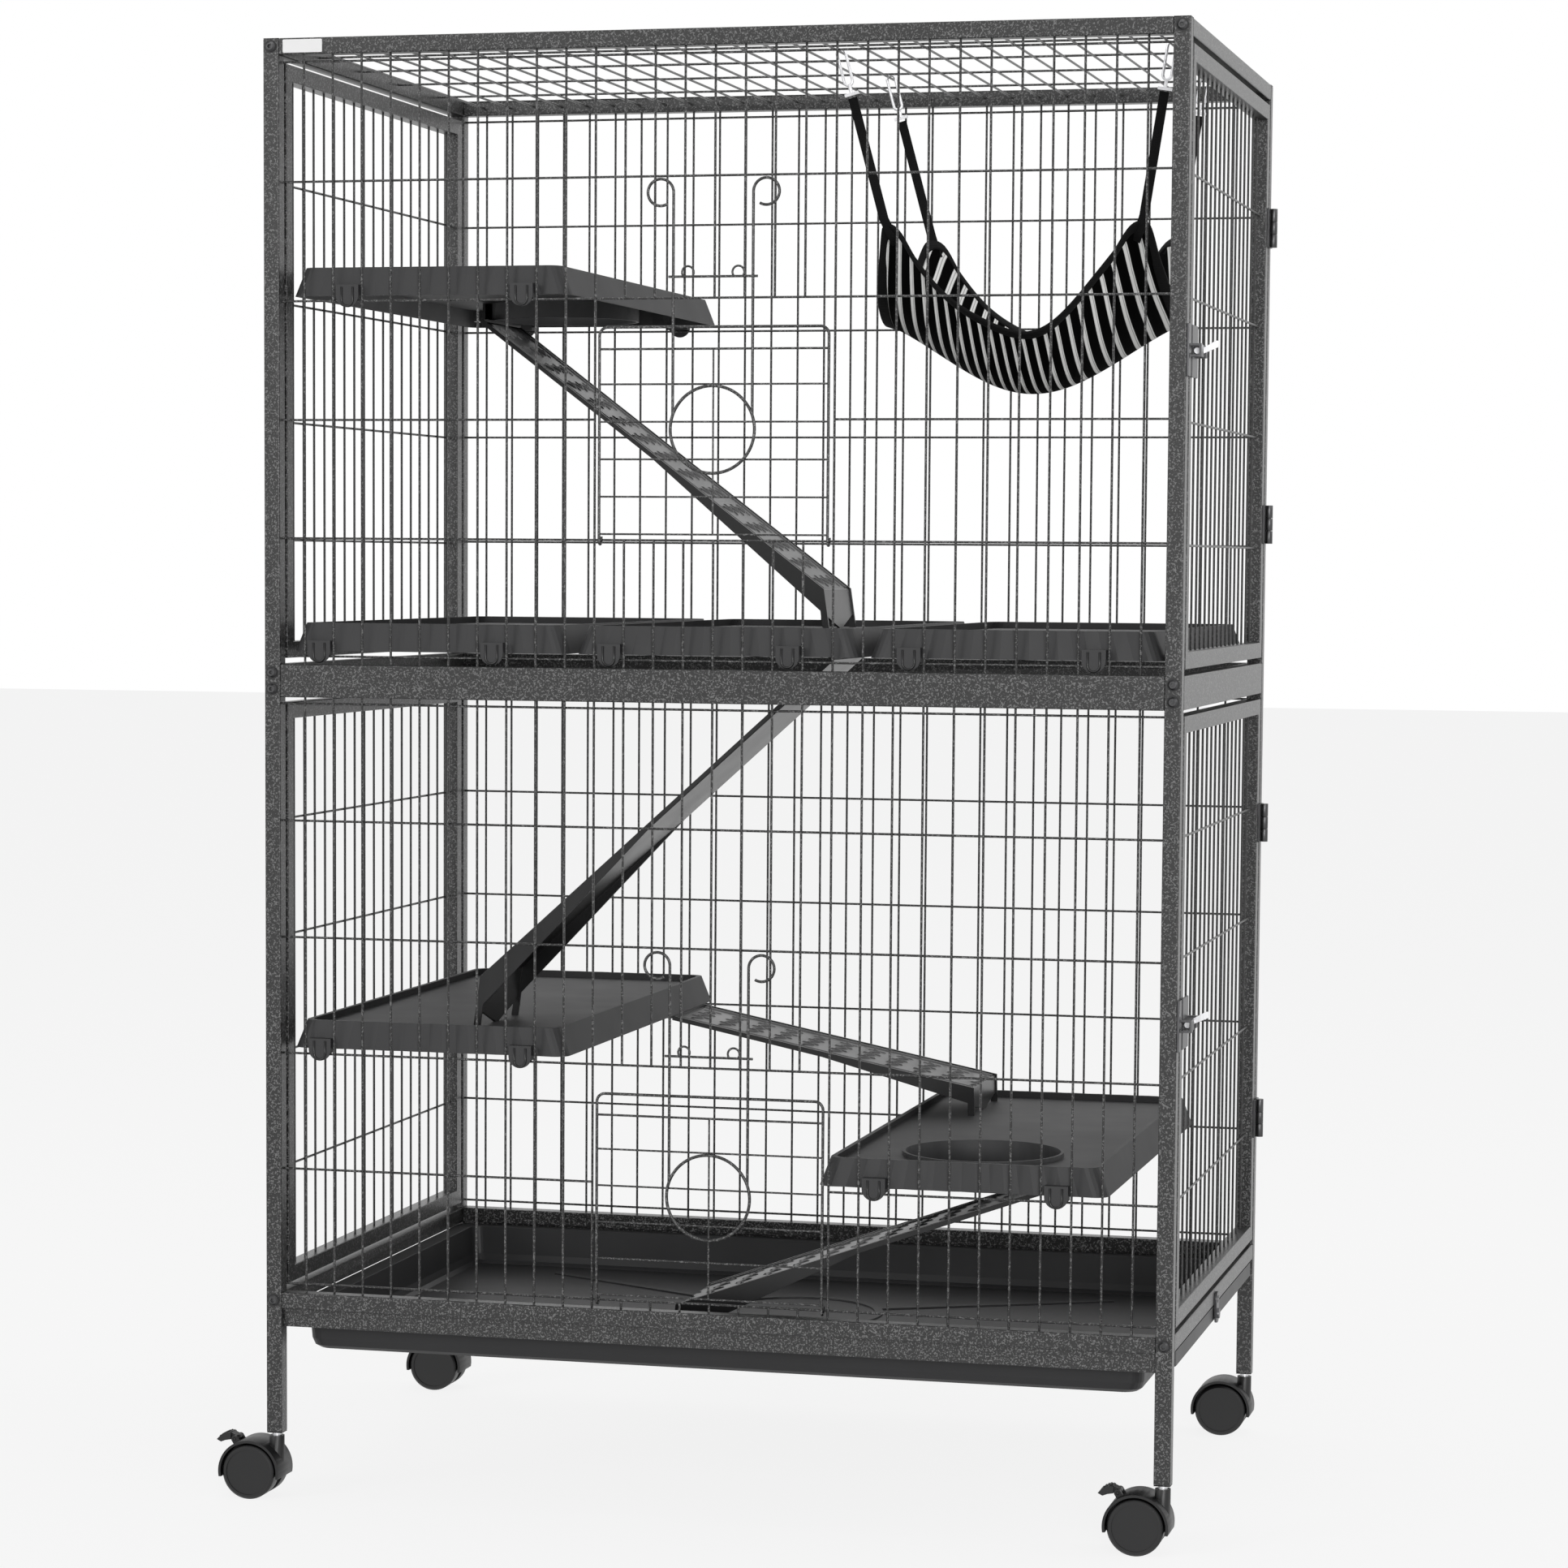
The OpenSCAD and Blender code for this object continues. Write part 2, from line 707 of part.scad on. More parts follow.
module shelf_upper_left() color("#4a4a4a") place() shelf(shelf_left, z_ul, hole_y, tabs_ul);
module shelf_middle_left() color("#4a4a4a") place() shelf(shelf_left, z_mid, 0, tabs_ml);
module shelf_middle() color("#4a4a4a") place() shelf(shelf_mid, z_mid, -hole_y, tabs_mid);
module shelf_middle_right() color("#4a4a4a") place() shelf(shelf_right, z_mid, 0, tabs_mr);
module shelf_lower_left() color("#4a4a4a") place() shelf(shelf_left, z_ll, 0, tabs_ll);
module shelf_lower_right() color("#4a4a4a") place() shelf(shelf_low_right, z_lr, -hole_y, tabs_lr);

// ---------- ramps ----------

// depth of the side flange half-way down, and at the bend as a part of the foot's drop
flange_mid = 5;
flange_foot = 0.55;
// width of the leg in which each flange reaches the floor
leg_w = 6;
lip_t = 2.5;
// half width of a foot's tip, and the height of its shoulders as a part of the foot's drop
tip_half = 4;
shoulder = 0.35;

// ramp in the XZ plane: run and drop to its bend, then the foot; it hangs from a lip that reaches back and up
module ramp(run, drop, foot_x, foot_drop, lip_back, lip_up) {
  half = ramp_w / 2;
  skin = tread_dip + wall;
  floor_z = -drop - foot_drop;
  // inward normals of the tread and the foot, and the step from the bend to a parallel of both
  n1 = [-drop, -run] / norm([run, drop]);
  n2 = [-foot_drop, -foot_x] / norm([foot_x, foot_drop]);
  mitre = (n1 + n2) / (1 + n1 * n2);
  bend = [run, -drop];
  function foot_at(t) = [run + t * mitre[0] + foot_x * (foot_drop + t * mitre[1]) / foot_drop, floor_z];
  // side flanges
  for (s = [-half, half - wall]) translate([0, s + wall, 0]) rotate([90, 0, 0]) linear_extrude(wall)
    polygon([
      [0, 0], bend, [run + foot_x, floor_z], [run + foot_x - leg_w, floor_z],
      [run + flange_foot * foot_x - leg_w, -drop - flange_foot * foot_drop],
      [run / 2, -drop / 2 - flange_mid], [0, -skin]
    ]);
  // tread and foot between them, the foot cut to a point
  difference() {
    translate([0, half - 1, 0]) rotate([90, 0, 0]) linear_extrude(ramp_w - 2) polygon([
      tread_dip * n1, bend + tread_dip * mitre, foot_at(tread_dip),
      foot_at(skin), bend + skin * mitre, skin * n1
    ]);
    both_y() foot_cut(run - half, 2 * half, floor_z, shoulder * foot_drop);
  }
  // lip under the shelf and the hook that stands inside its skirt
  block([-lip_back, -half, -lip_t], [wall, half, 0]);
  block([-lip_back, -half / 2, -lip_t], [lip_t - lip_back, half / 2, lip_up]);
}

// wedge that cuts one shoulder of a foot, along X from x0
module foot_cut(x0, len, z, rise) {
  tip = [tip_half, z];
  way = [ramp_w / 2 - tip_half, rise];
  low = tip - 0.1 * way;
  high = tip + 1.1 * way;
  translate([x0, 0, 0]) rotate([90, 0, 90]) linear_extrude(len)
    polygon([low, high, [ramp_w, high[1]], [ramp_w, low[1]]]);
}

// ramp from a top point to a bend and a foot, all as [x, z]; it may run to either side
module ramp_between(top, bend, foot, y, lip_back, lip_up) {
  way = sign(bend[0] - top[0]);
  run = abs(bend[0] - top[0]);
  foot_x = abs(foot[0] - bend[0]);
  translate([top[0], y, top[1]]) mirror([way < 0 ? 1 : 0, 0, 0])
    ramp(run, top[1] - bend[1], foot_x, bend[1] - foot[1], lip_back, lip_up);
}

under = shelf_floor - wall;
// far face of a hook that stands beside a hole, from the hole's middle, and of one inside a shelf's end
hole_hook = hole_d / 2 + wall + 1 + lip_t;
end_hook = wall + shelf_taper * under / shelf_h + fit + lip_t;

// x of the top, the bend and the foot of each ramp, and height of its bend above the floor it stands on
shelf_left_end = shelf_left + shelf_w / 2;
upper_xs = [shelf_left - 63.6, shelf_mid + 10.5, shelf_mid + 15.7];
middle_xs = [shelf_mid + 89, shelf_left + 33.6, shelf_left + 27.4];
lower_xs = [shelf_left_end - 0.5, shelf_low_right - 57.7, shelf_low_right - 57];
bottom_xs = [shelf_low_right + 65, shelf_mid - 43, shelf_mid - 48];
upper_bend = 36;
middle_bend = 44.5;
lower_bend = 25.5;
bottom_bend = 48;

module ramp_upper() color("#505050") place()
  ramp_between([upper_xs[0], z_ul], [upper_xs[1], z_mid + shelf_floor + upper_bend],
    [upper_xs[2], z_mid + shelf_floor], hole_y, hole_hook + upper_xs[0] - shelf_left, under);

module ramp_middle() color("#505050") place()
  ramp_between([middle_xs[0], z_mid], [middle_xs[1], z_ll + shelf_floor + middle_bend],
    [middle_xs[2], z_ll + shelf_floor], -hole_y, lip_t, under);

module ramp_lower() color("#505050") place()
  ramp_between([lower_xs[0], z_ll], [lower_xs[1], z_lr + shelf_floor + lower_bend],
    [lower_xs[2], z_lr + shelf_floor], hole_y, end_hook + lower_xs[0] - shelf_left_end, under);

module ramp_bottom() color("#505050") place()
  ramp_between([bottom_xs[0], z_lr], [bottom_xs[1], bin_floor + bottom_bend],
    [bottom_xs[2], bin_floor], -hole_y, hole_hook + shelf_low_right - bottom_xs[0], under);

// ---------- hammock ----------

cloth_cells_x = 26;
cloth_cells_y = 18;
// roof wires that carry the hooks, counted from the middle, and the cloth's ends inside them
hook_span = 11;
hook_wire_r = side_wires;
hook_wire_l = hook_wire_r - hook_span;
cloth_in_l = 39;
cloth_in_r = 22;
cloth_left = hook_wire_l * wire_pitch + cloth_in_l;
cloth_right = hook_wire_r * wire_pitch - cloth_in_r;
cloth_front = -127;
cloth_back = 67;
cloth_drop = 149;
cloth_z = body_h - cloth_drop;
// sag of the long and the end edges, curve of the sag, and depth of the folds
front_sag = 92;
end_sag = 79;
cloth_power = 1.3;
fold_h = 4;
cloth_bulge = 21;
cloth_draw = 0.05;

// height of the cloth at u, v from 0 to 1: four peaks, sagging edges, and folds that fan out from the corners
function cloth_h(u, v) =
  let (pu = pow(4 * u * (1 - u), cloth_power), pv = pow(4 * v * (1 - v), cloth_power))
  let (edges = front_sag * pu * (1 - pv) + end_sag * pv * (1 - pu), middle = cloth_sag * pu * pv)
  let (folds = fold_h * (sin(720 * u) * (1 - pv) * pu + sin(720 * v) * (1 - pu) * pv))
  cloth_z - edges - middle - folds;

// the end edges bulge outwards between the corners and the long edges draw in
function cloth_x(u, v) =
  cloth_left + (cloth_right - cloth_left) * u - cloth_bulge * pow(1 - 2 * u, 3) * 4 * v * (1 - v);
function cloth_y(u, v) =
  cloth_front + (cloth_back - cloth_front) * (v + cloth_draw * (0.5 - v) * 4 * u * (1 - u));

// closed sheet over a grid of points, cloth_t thick
module hammock_cloth() color("black") place() {
  nx = cloth_cells_x;
  ny = cloth_cells_y;
  row = ny + 1;
  under_cloth = (nx + 1) * row;
  top = [for (i = [0:nx]) for (j = [0:ny])
    [cloth_x(i / nx, j / ny), cloth_y(i / nx, j / ny), cloth_h(i / nx, j / ny)]];
  pts = concat(top, [for (p = top) p - [0, 0, cloth_t]]);
  upper = [for (i = [0:nx - 1]) for (j = [0:ny - 1]) for (t = [0, 1])
    t == 0 ? [i * row + j, i * row + j + 1, (i + 1) * row + j]
           : [i * row + j + 1, (i + 1) * row + j + 1, (i + 1) * row + j]];
  lower = [for (f = upper) [f[2] + under_cloth, f[1] + under_cloth, f[0] + under_cloth]];
  rim = concat(
    [for (i = [0:nx - 1]) [(i + 1) * row, i * row]], [for (j = [0:ny - 1]) [j, j + 1]],
    [for (i = [0:nx - 1]) [i * row + ny, (i + 1) * row + ny]],
    [for (j = [0:ny - 1]) [nx * row + j + 1, nx * row + j]]);
  sides = [for (e = rim) for (t = [0, 1])
    t == 0 ? [e[0], e[0] + under_cloth, e[1]] : [e[1], e[0] + under_cloth, e[1] + under_cloth]];
  polyhedron(points = pts, faces = concat(upper, lower, sides), convexity = 8);
}

strap_t = 1.6;
// level where the straps hang in their hooks
strap_drop = 45;
strap_top = body_h - strap_drop;

// hook places as [x of the roof wire, x of the cloth corner, y]
hook_spots = [
  [hook_wire_l * wire_pitch, cloth_left, cloth_front], [hook_wire_r * wire_pitch, cloth_right, cloth_front],
  [hook_wire_l * wire_pitch, cloth_left, cloth_back], [hook_wire_r * wire_pitch, cloth_right, cloth_back]
];

// tilt of a strap that hangs between its hook and the corner of the cloth
function strap_tilt(s) = atan2(s[1] - s[0], roof_z - cloth_z);

module hammock_straps() color("black") place() {
  for (s = hook_spots) translate([s[0], s[2], roof_z]) rotate([0, -strap_tilt(s), 0]) {
    reach = norm([s[1] - s[0], roof_z - cloth_z]);
    block([-strap_w / 2, -strap_t / 2, fit - reach], [strap_w / 2, strap_t / 2, strap_top - roof_z]);
  }
}

hook_r = 5;
hook_wire = 2.4;
hook_len = 24;
eye_w = 12;
hook_play = 1.5;
swivel_d = 3;

// snap hooks on the roof wires: bent top, straight body with a gate, and an eye for the strap
module hammock_hooks() color("silver") place() {
  for (s = hook_spots) translate([s[0], s[2], roof_z]) rotate([0, -strap_tilt(s), 0]) {
    low = strap_top - roof_z;
    r = (wire_d + hook_wire) / 2 + hook_play;
    top = fit - hook_play;
    translate([0, 0, top]) arc_xz(r, hook_wire, 0, 180);
    both_x() rod_z(top - hook_len, top, r, 0, hook_wire);
    translate([0, 0, top - hook_len]) arc_xz(r, hook_wire, 180, 180);
    rod_z(low + hook_wire, top - hook_len - r, 0, 0, swivel_d);
    block([-eye_w / 2, -hook_wire / 2, low + fit], [eye_w / 2, hook_wire / 2, low + hook_wire + fit]);
  }
}

// ---------- bin ----------

rim_top = base_top - tube - 1;
rim_t = 2.4;
rim_low = guide_low + guide_t + fit;
bin_floor = rim_top - bin_h + bin_wall + 1;
// half sizes of the tub, and of its rim towards the front, the left and the right
bin_y = iy - 11;
bin_x = ix - 12.5;
bin_rim_y = iy - 1;
bin_rim_l = ix + 1.5;
bin_rim_r = hx - 0.5;
bin_corner = 12;

module bin_outline(x0, x1, y, r) {
  translate([(x0 + x1) / 2, 0]) rounded_rect(x1 - x0, 2 * y, r);
}

// tapered tub shape, shrunk by inset, from its bottom to the rim
module bin_tub(inset, z_bottom, z_top) {
  slab = 0.5;
  bend = 9;
  draft = 2;
  // height and inward step of each level of the wall
  low = [[bend, 1], [bend / 3, 2], [0, 4]];
  levels = concat([[z_top - slab, 0]], [for (l = low) [z_bottom + l[0], l[1] * draft]]);
  hull() for (l = levels) translate([0, 0, l[0]]) linear_extrude(slab)
    bin_outline(inset + l[1] - bin_x, bin_x - l[1] - inset, bin_y - l[1] - inset, bin_corner - inset);
}

// ring on the floor with four ribs that run towards the corners
boss_x = 4;
boss_y = 46;
boss_r = 79;
boss_w = 8;
rib_turn = 26.5;
rib_end = 300;
rib_h = 1.5;

module bin() color("#454545") place() {
  difference() {
    union() {
      bin_tub(0, bin_floor - bin_wall, rim_top);
      translate([0, 0, rim_top - rim_t]) linear_extrude(rim_t)
        bin_outline(-bin_rim_l, bin_rim_r, bin_rim_y, bin_corner);
      translate([0, 0, rim_low]) linear_extrude(rim_top - rim_low) difference() {
        bin_outline(-bin_rim_l, bin_rim_r, bin_rim_y, bin_corner);
        bin_outline(rim_t - bin_rim_l, bin_rim_r - rim_t, bin_rim_y - rim_t, bin_corner - rim_t);
      }
    }
    bin_tub(bin_wall, bin_floor, rim_top + 1);
  }
  // embossed ring and ribs on the floor
  translate([boss_x, boss_y, bin_floor - eps]) {
    difference() {
      cylinder(h = rib_h, r = boss_r, $fn = round_fn);
      translate([0, 0, -1]) cylinder(h = rib_h + 2, r = boss_r - boss_w, $fn = round_fn);
    }
    for (a = [-rib_turn, rib_turn, 180 - rib_turn, 180 + rib_turn]) rotate([0, 0, a])
      block([boss_r - 1, -boss_w / 2, 0], [rib_end, boss_w / 2, rib_h]);
  }
}

// tab of the bin: its size, how far its rivet sits from its lower end, its hole, and its place
tab_h = 27;
lock_w = 16;
lock_t = 2;
lock_r = 6;
lock_low = 8;
lock_hole = 7;
lock_hole_up = 12.5;
lock_off = 0.8;
lock_y = -5;
rivet_d = 5;
rivet_head = 1.6;
rivet_up = 5.5;
rivet_z = rim_low + rivet_up;

// turning tab on the end of the bin, with its rivet
module bin_lock_tab() color("silver") place() translate([bin_rim_r, lock_y, rivet_z]) {
  rotate([90, 0, 90]) translate([0, 0, lock_off]) linear_extrude(lock_t) difference() {
    translate([0, tab_h / 2 - lock_low]) rounded_rect(lock_w, tab_h, lock_r);
    translate([0, lock_hole_up]) circle(d = lock_hole, $fn = round_fn);
  }
  rod_x(0, lock_off + lock_t + rivet_head, 0, 0, rivet_d);
  rod_x(lock_off + lock_t, lock_off + lock_t + rivet_head, 0, 0, rivet_d + 4);
}

// ---------- casters ----------

wheel_r = wheel_d / 2;
hood_r = wheel_r + 4;
hood_in = wheel_r + 1.8;
web_w = 9;
wheel_w = (twin_w - web_w) / 2 - 0.5;
axle_d = 6;
neck_d = 13;
// how far the hood reaches below the axle, and the solid behind the neck below its top
hood_below = 5;
hood_cut = wheel_r - hood_below;
neck_step = 8;
// brake lever: place of its pin from the wheel's centre, and the pin, the hub and the cheeks that hold it
hub_dir = 122;
hub_d = 6;
hub_off = hood_r + hub_d / 2 + fit;
hub_x = hub_off * cos(hub_dir);
hub_z = hub_off * sin(hub_dir);
brake_pin = 2.4;
hub_half = 5;
cheek_t = 2.5;
cheek_in = hub_half + fit;

// hood round the top of both wheels with a middle web, a bored hub and the neck on the stem
module caster_hood(sx, sy) {
  translate([sx * (hx - tube / 2), sy * (hy - tube / 2), 0]) difference() {
    union() {
      intersection() {
        rod_y(-twin_w / 2 + 1, twin_w / 2 - 1, -trail, wheel_r, 2 * hood_r);
        block([-trail - hood_r, -twin_w, hood_cut], [hood_r - trail, twin_w, wheel_r + hood_r]);
      }
      rod_z(wheel_r, hood_top, 0, 0, neck_d);
      block([-trail / 2, -neck_d / 2, wheel_r], [0, neck_d / 2, hood_top - neck_step]);
      if (sy < 0) both_y() brake_cheek();
    }
    for (s = [-1, 1]) {
      y0 = s > 0 ? web_w / 2 : -twin_w;
      rod_y(y0, y0 + twin_w - web_w / 2, -trail, wheel_r, 2 * hood_in);
    }
    rod_y(-twin_w, twin_w, -trail, wheel_r, axle_d + 2 * fit);
    rod_z(hood_top - neck_depth, hood_top + 1, 0, 0, stem_d + 2 * fit);
    if (sy < 0) rod_y(-twin_w, twin_w, hub_x - trail, wheel_r + hub_z, brake_pin + 2 * fit);
  }
}

// ear on the hood that one end of the brake lever's pin turns in
module brake_cheek() {
  hull() {
    rod_y(cheek_in, cheek_in + cheek_t, hub_x - trail, wheel_r + hub_z, hub_d);
    translate([-trail, cheek_in, wheel_r]) rotate([0, -hub_dir, 0]) translate([hood_in + 1, 0, -hub_d / 2])
      cube([1, cheek_t, hub_d]);
  }
}

// two wheels on their axle
module caster_wheels(sx, sy) {
  translate([sx * (hx - tube / 2) - trail, sy * (hy - tube / 2), wheel_r]) rotate([90, 0, 0]) {
    for (s = [0, 1]) mirror([0, 0, s]) translate([0, 0, web_w / 2 + 0.5]) difference() {
      union() {
        cylinder(h = wheel_w - 2, r = wheel_r, $fn = round_fn);
        translate([0, 0, wheel_w - 2]) cylinder(h = 2, r1 = wheel_r, r2 = wheel_r - 2, $fn = round_fn);
      }
      translate([0, 0, wheel_w - 0.8]) cylinder(h = 1, r = wheel_r - 4, $fn = round_fn);
    }
    cylinder(h = web_w + 2, d = axle_d, center = true, $fn = round_fn);
  }
}

module caster_hood_fl() color("#3c3c3c") place() caster_hood(-1, -1);
module caster_hood_fr() color("#3c3c3c") place() caster_hood(1, -1);
module caster_hood_bl() color("#3c3c3c") place() caster_hood(-1, 1);
module caster_hood_br() color("#3c3c3c") place() caster_hood(1, 1);
module caster_wheels_fl() color("#2b2b2b") place() caster_wheels(-1, -1);
module caster_wheels_fr() color("#2b2b2b") place() caster_wheels(1, -1);
module caster_wheels_bl() color("#2b2b2b") place() caster_wheels(-1, 1);
module caster_wheels_br() color("#2b2b2b") place() caster_wheels(1, 1);

// ---------- brake levers ----------

paddle_w = 14;
// side view of the neck and of the finger paddle, from the wheel's centre
neck_view = [[-16.3, 24.5], [-13.5, 26.5], [-15.5, 29], [-20.4, 31.2], [-20.4, 25.6]];
paddle_view = [[-20, 25.5], [-20, 31], [-24, 31.5], [-29, 29], [-33, 25], [-29, 23], [-25, 24.6]];

// curved finger lever on its pin over the hood
module brake_lever(sx) {
  translate([sx * (hx - tube / 2) - trail, -(hy - tube / 2), wheel_r]) {
    rod_y(-hub_half, hub_half, hub_x, hub_z, hub_d);
    rod_y(-cheek_in - cheek_t, cheek_in + cheek_t, hub_x, hub_z, brake_pin);
    translate([0, hub_half, 0]) rotate([90, 0, 0]) linear_extrude(2 * hub_half) polygon(neck_view);
    translate([0, paddle_w / 2, 0]) rotate([90, 0, 0]) linear_extrude(paddle_w) polygon(paddle_view);
  }
}

module brake_lever_fl() color("#303030") place() brake_lever(-1);
module brake_lever_fr() color("#303030") place() brake_lever(1);

// ---------- drawing ----------

corner_posts();
top_rails();
middle_rails();
base_rails();
tray_guides();
frame_bolts();
label_plate();
post_plugs();
caster_stems();
roof_mesh();
front_upper_mesh();
front_lower_mesh();
back_upper_mesh();
back_lower_mesh();
left_panel_frames();
left_panel_bars();
left_panel_spacers();
upper_door_frame();
upper_door_bars();
lower_door_frame();
lower_door_bars();
hinge_post_leaves();
upper_door_hinge_leaves();
lower_door_hinge_leaves();
latch_keepers();
upper_latch_plate();
upper_latch_bolt();
lower_latch_plate();
lower_latch_bolt();
upper_feeder_door();
upper_feeder_latch();
lower_feeder_door();
lower_feeder_latch();
shelf_upper_left();
shelf_middle_left();
shelf_middle();
shelf_middle_right();
shelf_lower_left();
shelf_lower_right();
ramp_upper();
ramp_middle();
ramp_lower();
ramp_bottom();
hammock_cloth();
hammock_straps();
hammock_hooks();
bin();
bin_lock_tab();
caster_hood_fl();
caster_hood_fr();
caster_hood_bl();
caster_hood_br();
caster_wheels_fl();
caster_wheels_fr();
caster_wheels_bl();
caster_wheels_br();
brake_lever_fl();
brake_lever_fr();
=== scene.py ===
# %% [markdown]
# # A two-storey ferret cage
# A wire cage on casters, with half shelves, ramps, a hammock and a bin that slides out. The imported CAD
# model gives every solid its place and its size, so nothing is moved here. This notebook gives the solids
# their finishes, adds what a construction model leaves out, and sets up the floor, the light and the
# camera. Lengths are in metres unless a name ends in `_mm` or `_MM`.

import json
import math

import bmesh
import bpy
import numpy as np
from mathutils import Matrix, Vector


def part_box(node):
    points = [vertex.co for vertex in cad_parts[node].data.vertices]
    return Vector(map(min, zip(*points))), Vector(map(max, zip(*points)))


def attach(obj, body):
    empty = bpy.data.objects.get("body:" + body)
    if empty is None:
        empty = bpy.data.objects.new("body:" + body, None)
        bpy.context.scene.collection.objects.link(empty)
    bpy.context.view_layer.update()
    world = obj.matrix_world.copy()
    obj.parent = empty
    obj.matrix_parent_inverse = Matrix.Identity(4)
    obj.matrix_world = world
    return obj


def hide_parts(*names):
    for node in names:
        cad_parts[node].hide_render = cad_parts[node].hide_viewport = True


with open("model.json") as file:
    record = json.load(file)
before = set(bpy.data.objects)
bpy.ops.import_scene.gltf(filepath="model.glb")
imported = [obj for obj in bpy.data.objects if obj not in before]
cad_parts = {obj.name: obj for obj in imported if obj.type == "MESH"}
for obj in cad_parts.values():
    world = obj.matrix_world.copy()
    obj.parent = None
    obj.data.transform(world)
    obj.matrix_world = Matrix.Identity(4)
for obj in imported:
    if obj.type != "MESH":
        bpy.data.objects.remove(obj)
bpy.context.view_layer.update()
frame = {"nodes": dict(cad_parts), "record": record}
nodes = frame["nodes"]

# %% [markdown]
# ## Colours, nodes and scales
# A colour code says how a colour looks on a screen, but a renderer counts light, so one function makes the
# codes linear. One more function adds any kind of node, which keeps every pattern readable as a list of
# steps. Patterns lie in object coordinates, which are metres, so a pattern whose cells are 2 mm wide needs
# a scale of 500 cells per metre.

# %% Helpers of the finishes
def linear(hex_code):
    """Linear colour of a screen colour such as 3b3b3c, by the sRGB curve."""
    channels = [int(hex_code[i:i + 2], 16) / 255 for i in (0, 2, 4)]
    return tuple(c / 12.92 if c <= 0.04045 else ((c + 0.055) / 1.055) ** 2.4 for c in channels) + (1.0,)


def add_node(tree, kind, inputs=None, out=0, **settings):
    """Adds a node, links or sets its inputs, and gives one of its outputs, by name or number."""
    made = tree.nodes.new("ShaderNode" + kind)
    for key, value in settings.items():
        setattr(made, key, value)
    for key, value in (inputs or {}).items():
        if isinstance(value, bpy.types.NodeSocket):
            tree.links.new(value, made.inputs[key])
        else:
            made.inputs[key].default_value = value
    return made.outputs[out] if len(made.outputs) else None


def new_finish(name, **sockets):
    """Material whose Principled shader has its constant sockets set."""
    material = bpy.data.materials.new(name)
    material.use_nodes = True
    shader = material.node_tree.nodes["Principled BSDF"]
    for key, value in sockets.items():
        shader.inputs[key.replace("_", " ")].default_value = value
    return material, material.node_tree, shader


def cells(size_mm):
    """Scale of a noise in object coordinates whose cells are this wide."""
    return 1000.0 / size_mm


print("screen grey 808080 is linear", round(linear("808080")[0], 3))
print("cells of 2 mm need a scale of", cells(2.0))

# %% [markdown]
# ## Hammertone coat
# The tubes and wires wear a powder coat that runs into pale worms while it is baked. It could be painted as
# an image, but a pattern made of nodes has no seams on square tubes. A noise is followed along its middle
# value, which gives winding lines, and a second noise cuts these lines into short flecks.

# %% Hammertone coat
FLECK_MM, GAP_MM = 2.3256, 1.7857


def hammertone(name, dark, pale):
    """Flecks where a noise is close to its middle value and a second noise is high; they also stand proud."""
    material, tree, shader = new_finish(name, Roughness=0.42, IOR=1.5, Coat_Weight=0.35, Coat_Roughness=0.3)
    place = add_node(tree, "TexCoord", out="Object")
    veins = add_node(tree, "TexNoise", {"Vector": place, "Scale": cells(FLECK_MM), "Detail": 1.0,
                                        "Distortion": 0.5})
    signed = add_node(tree, "Math", {0: veins, 1: 0.5}, operation="SUBTRACT")
    off_vein = add_node(tree, "Math", {0: signed}, operation="ABSOLUTE")
    worms = add_node(tree, "MapRange", {"Value": off_vein, "From Min": 0.04, "From Max": 0.08, "To Min": 1.0,
                                        "To Max": 0.0}, interpolation_type="SMOOTHSTEP")
    patches = add_node(tree, "TexNoise", {"Vector": place, "Scale": cells(GAP_MM), "Detail": 1.0})
    kept = add_node(tree, "MapRange", {"Value": patches, "From Min": 0.49, "From Max": 0.53},
                    interpolation_type="SMOOTHSTEP")
    fleck = add_node(tree, "Math", {0: worms, 1: kept}, operation="MULTIPLY")
    paint = add_node(tree, "Mix", {0: fleck, 6: linear(dark), 7: linear(pale)}, out=2, data_type="RGBA")
    tree.links.new(paint, shader.inputs["Base Color"])
    relief = add_node(tree, "Bump", {"Height": fleck, "Strength": 0.35, "Distance": 0.0004})
    tree.links.new(relief, shader.inputs["Normal"])
    return material


# baked powder coat: grey worms in black, with a soft gloss over both
COAT = hammertone("hammertone powder coat", "030303", "6a6a6a")
# the same coat on the side bars, painted darker in both ground and worms: painted shade on the thin bars
SHADED_BAR_COAT = hammertone("hammertone powder coat on thin bars", "020202", "343434")
print("coats:", COAT.name, "and", SHADED_BAR_COAT.name, "with flecks every", FLECK_MM, "mm")

# %% [markdown]
# ## Plated and darkened steel
# Hooks, stems and latches are drawn steel with a thin plating. Drawing leaves fine lines along the metal,
# which an anisotropic shader could fake, but a stretched noise that varies colour, roughness and height
# survives the export. The real lines are about 0.05 mm apart, too fine to show, so they are drawn 1.1 mm
# apart.

# %% Plated steel
DRAWN_LINE_MM, LINE_STRETCH = 1.1111, 0.08


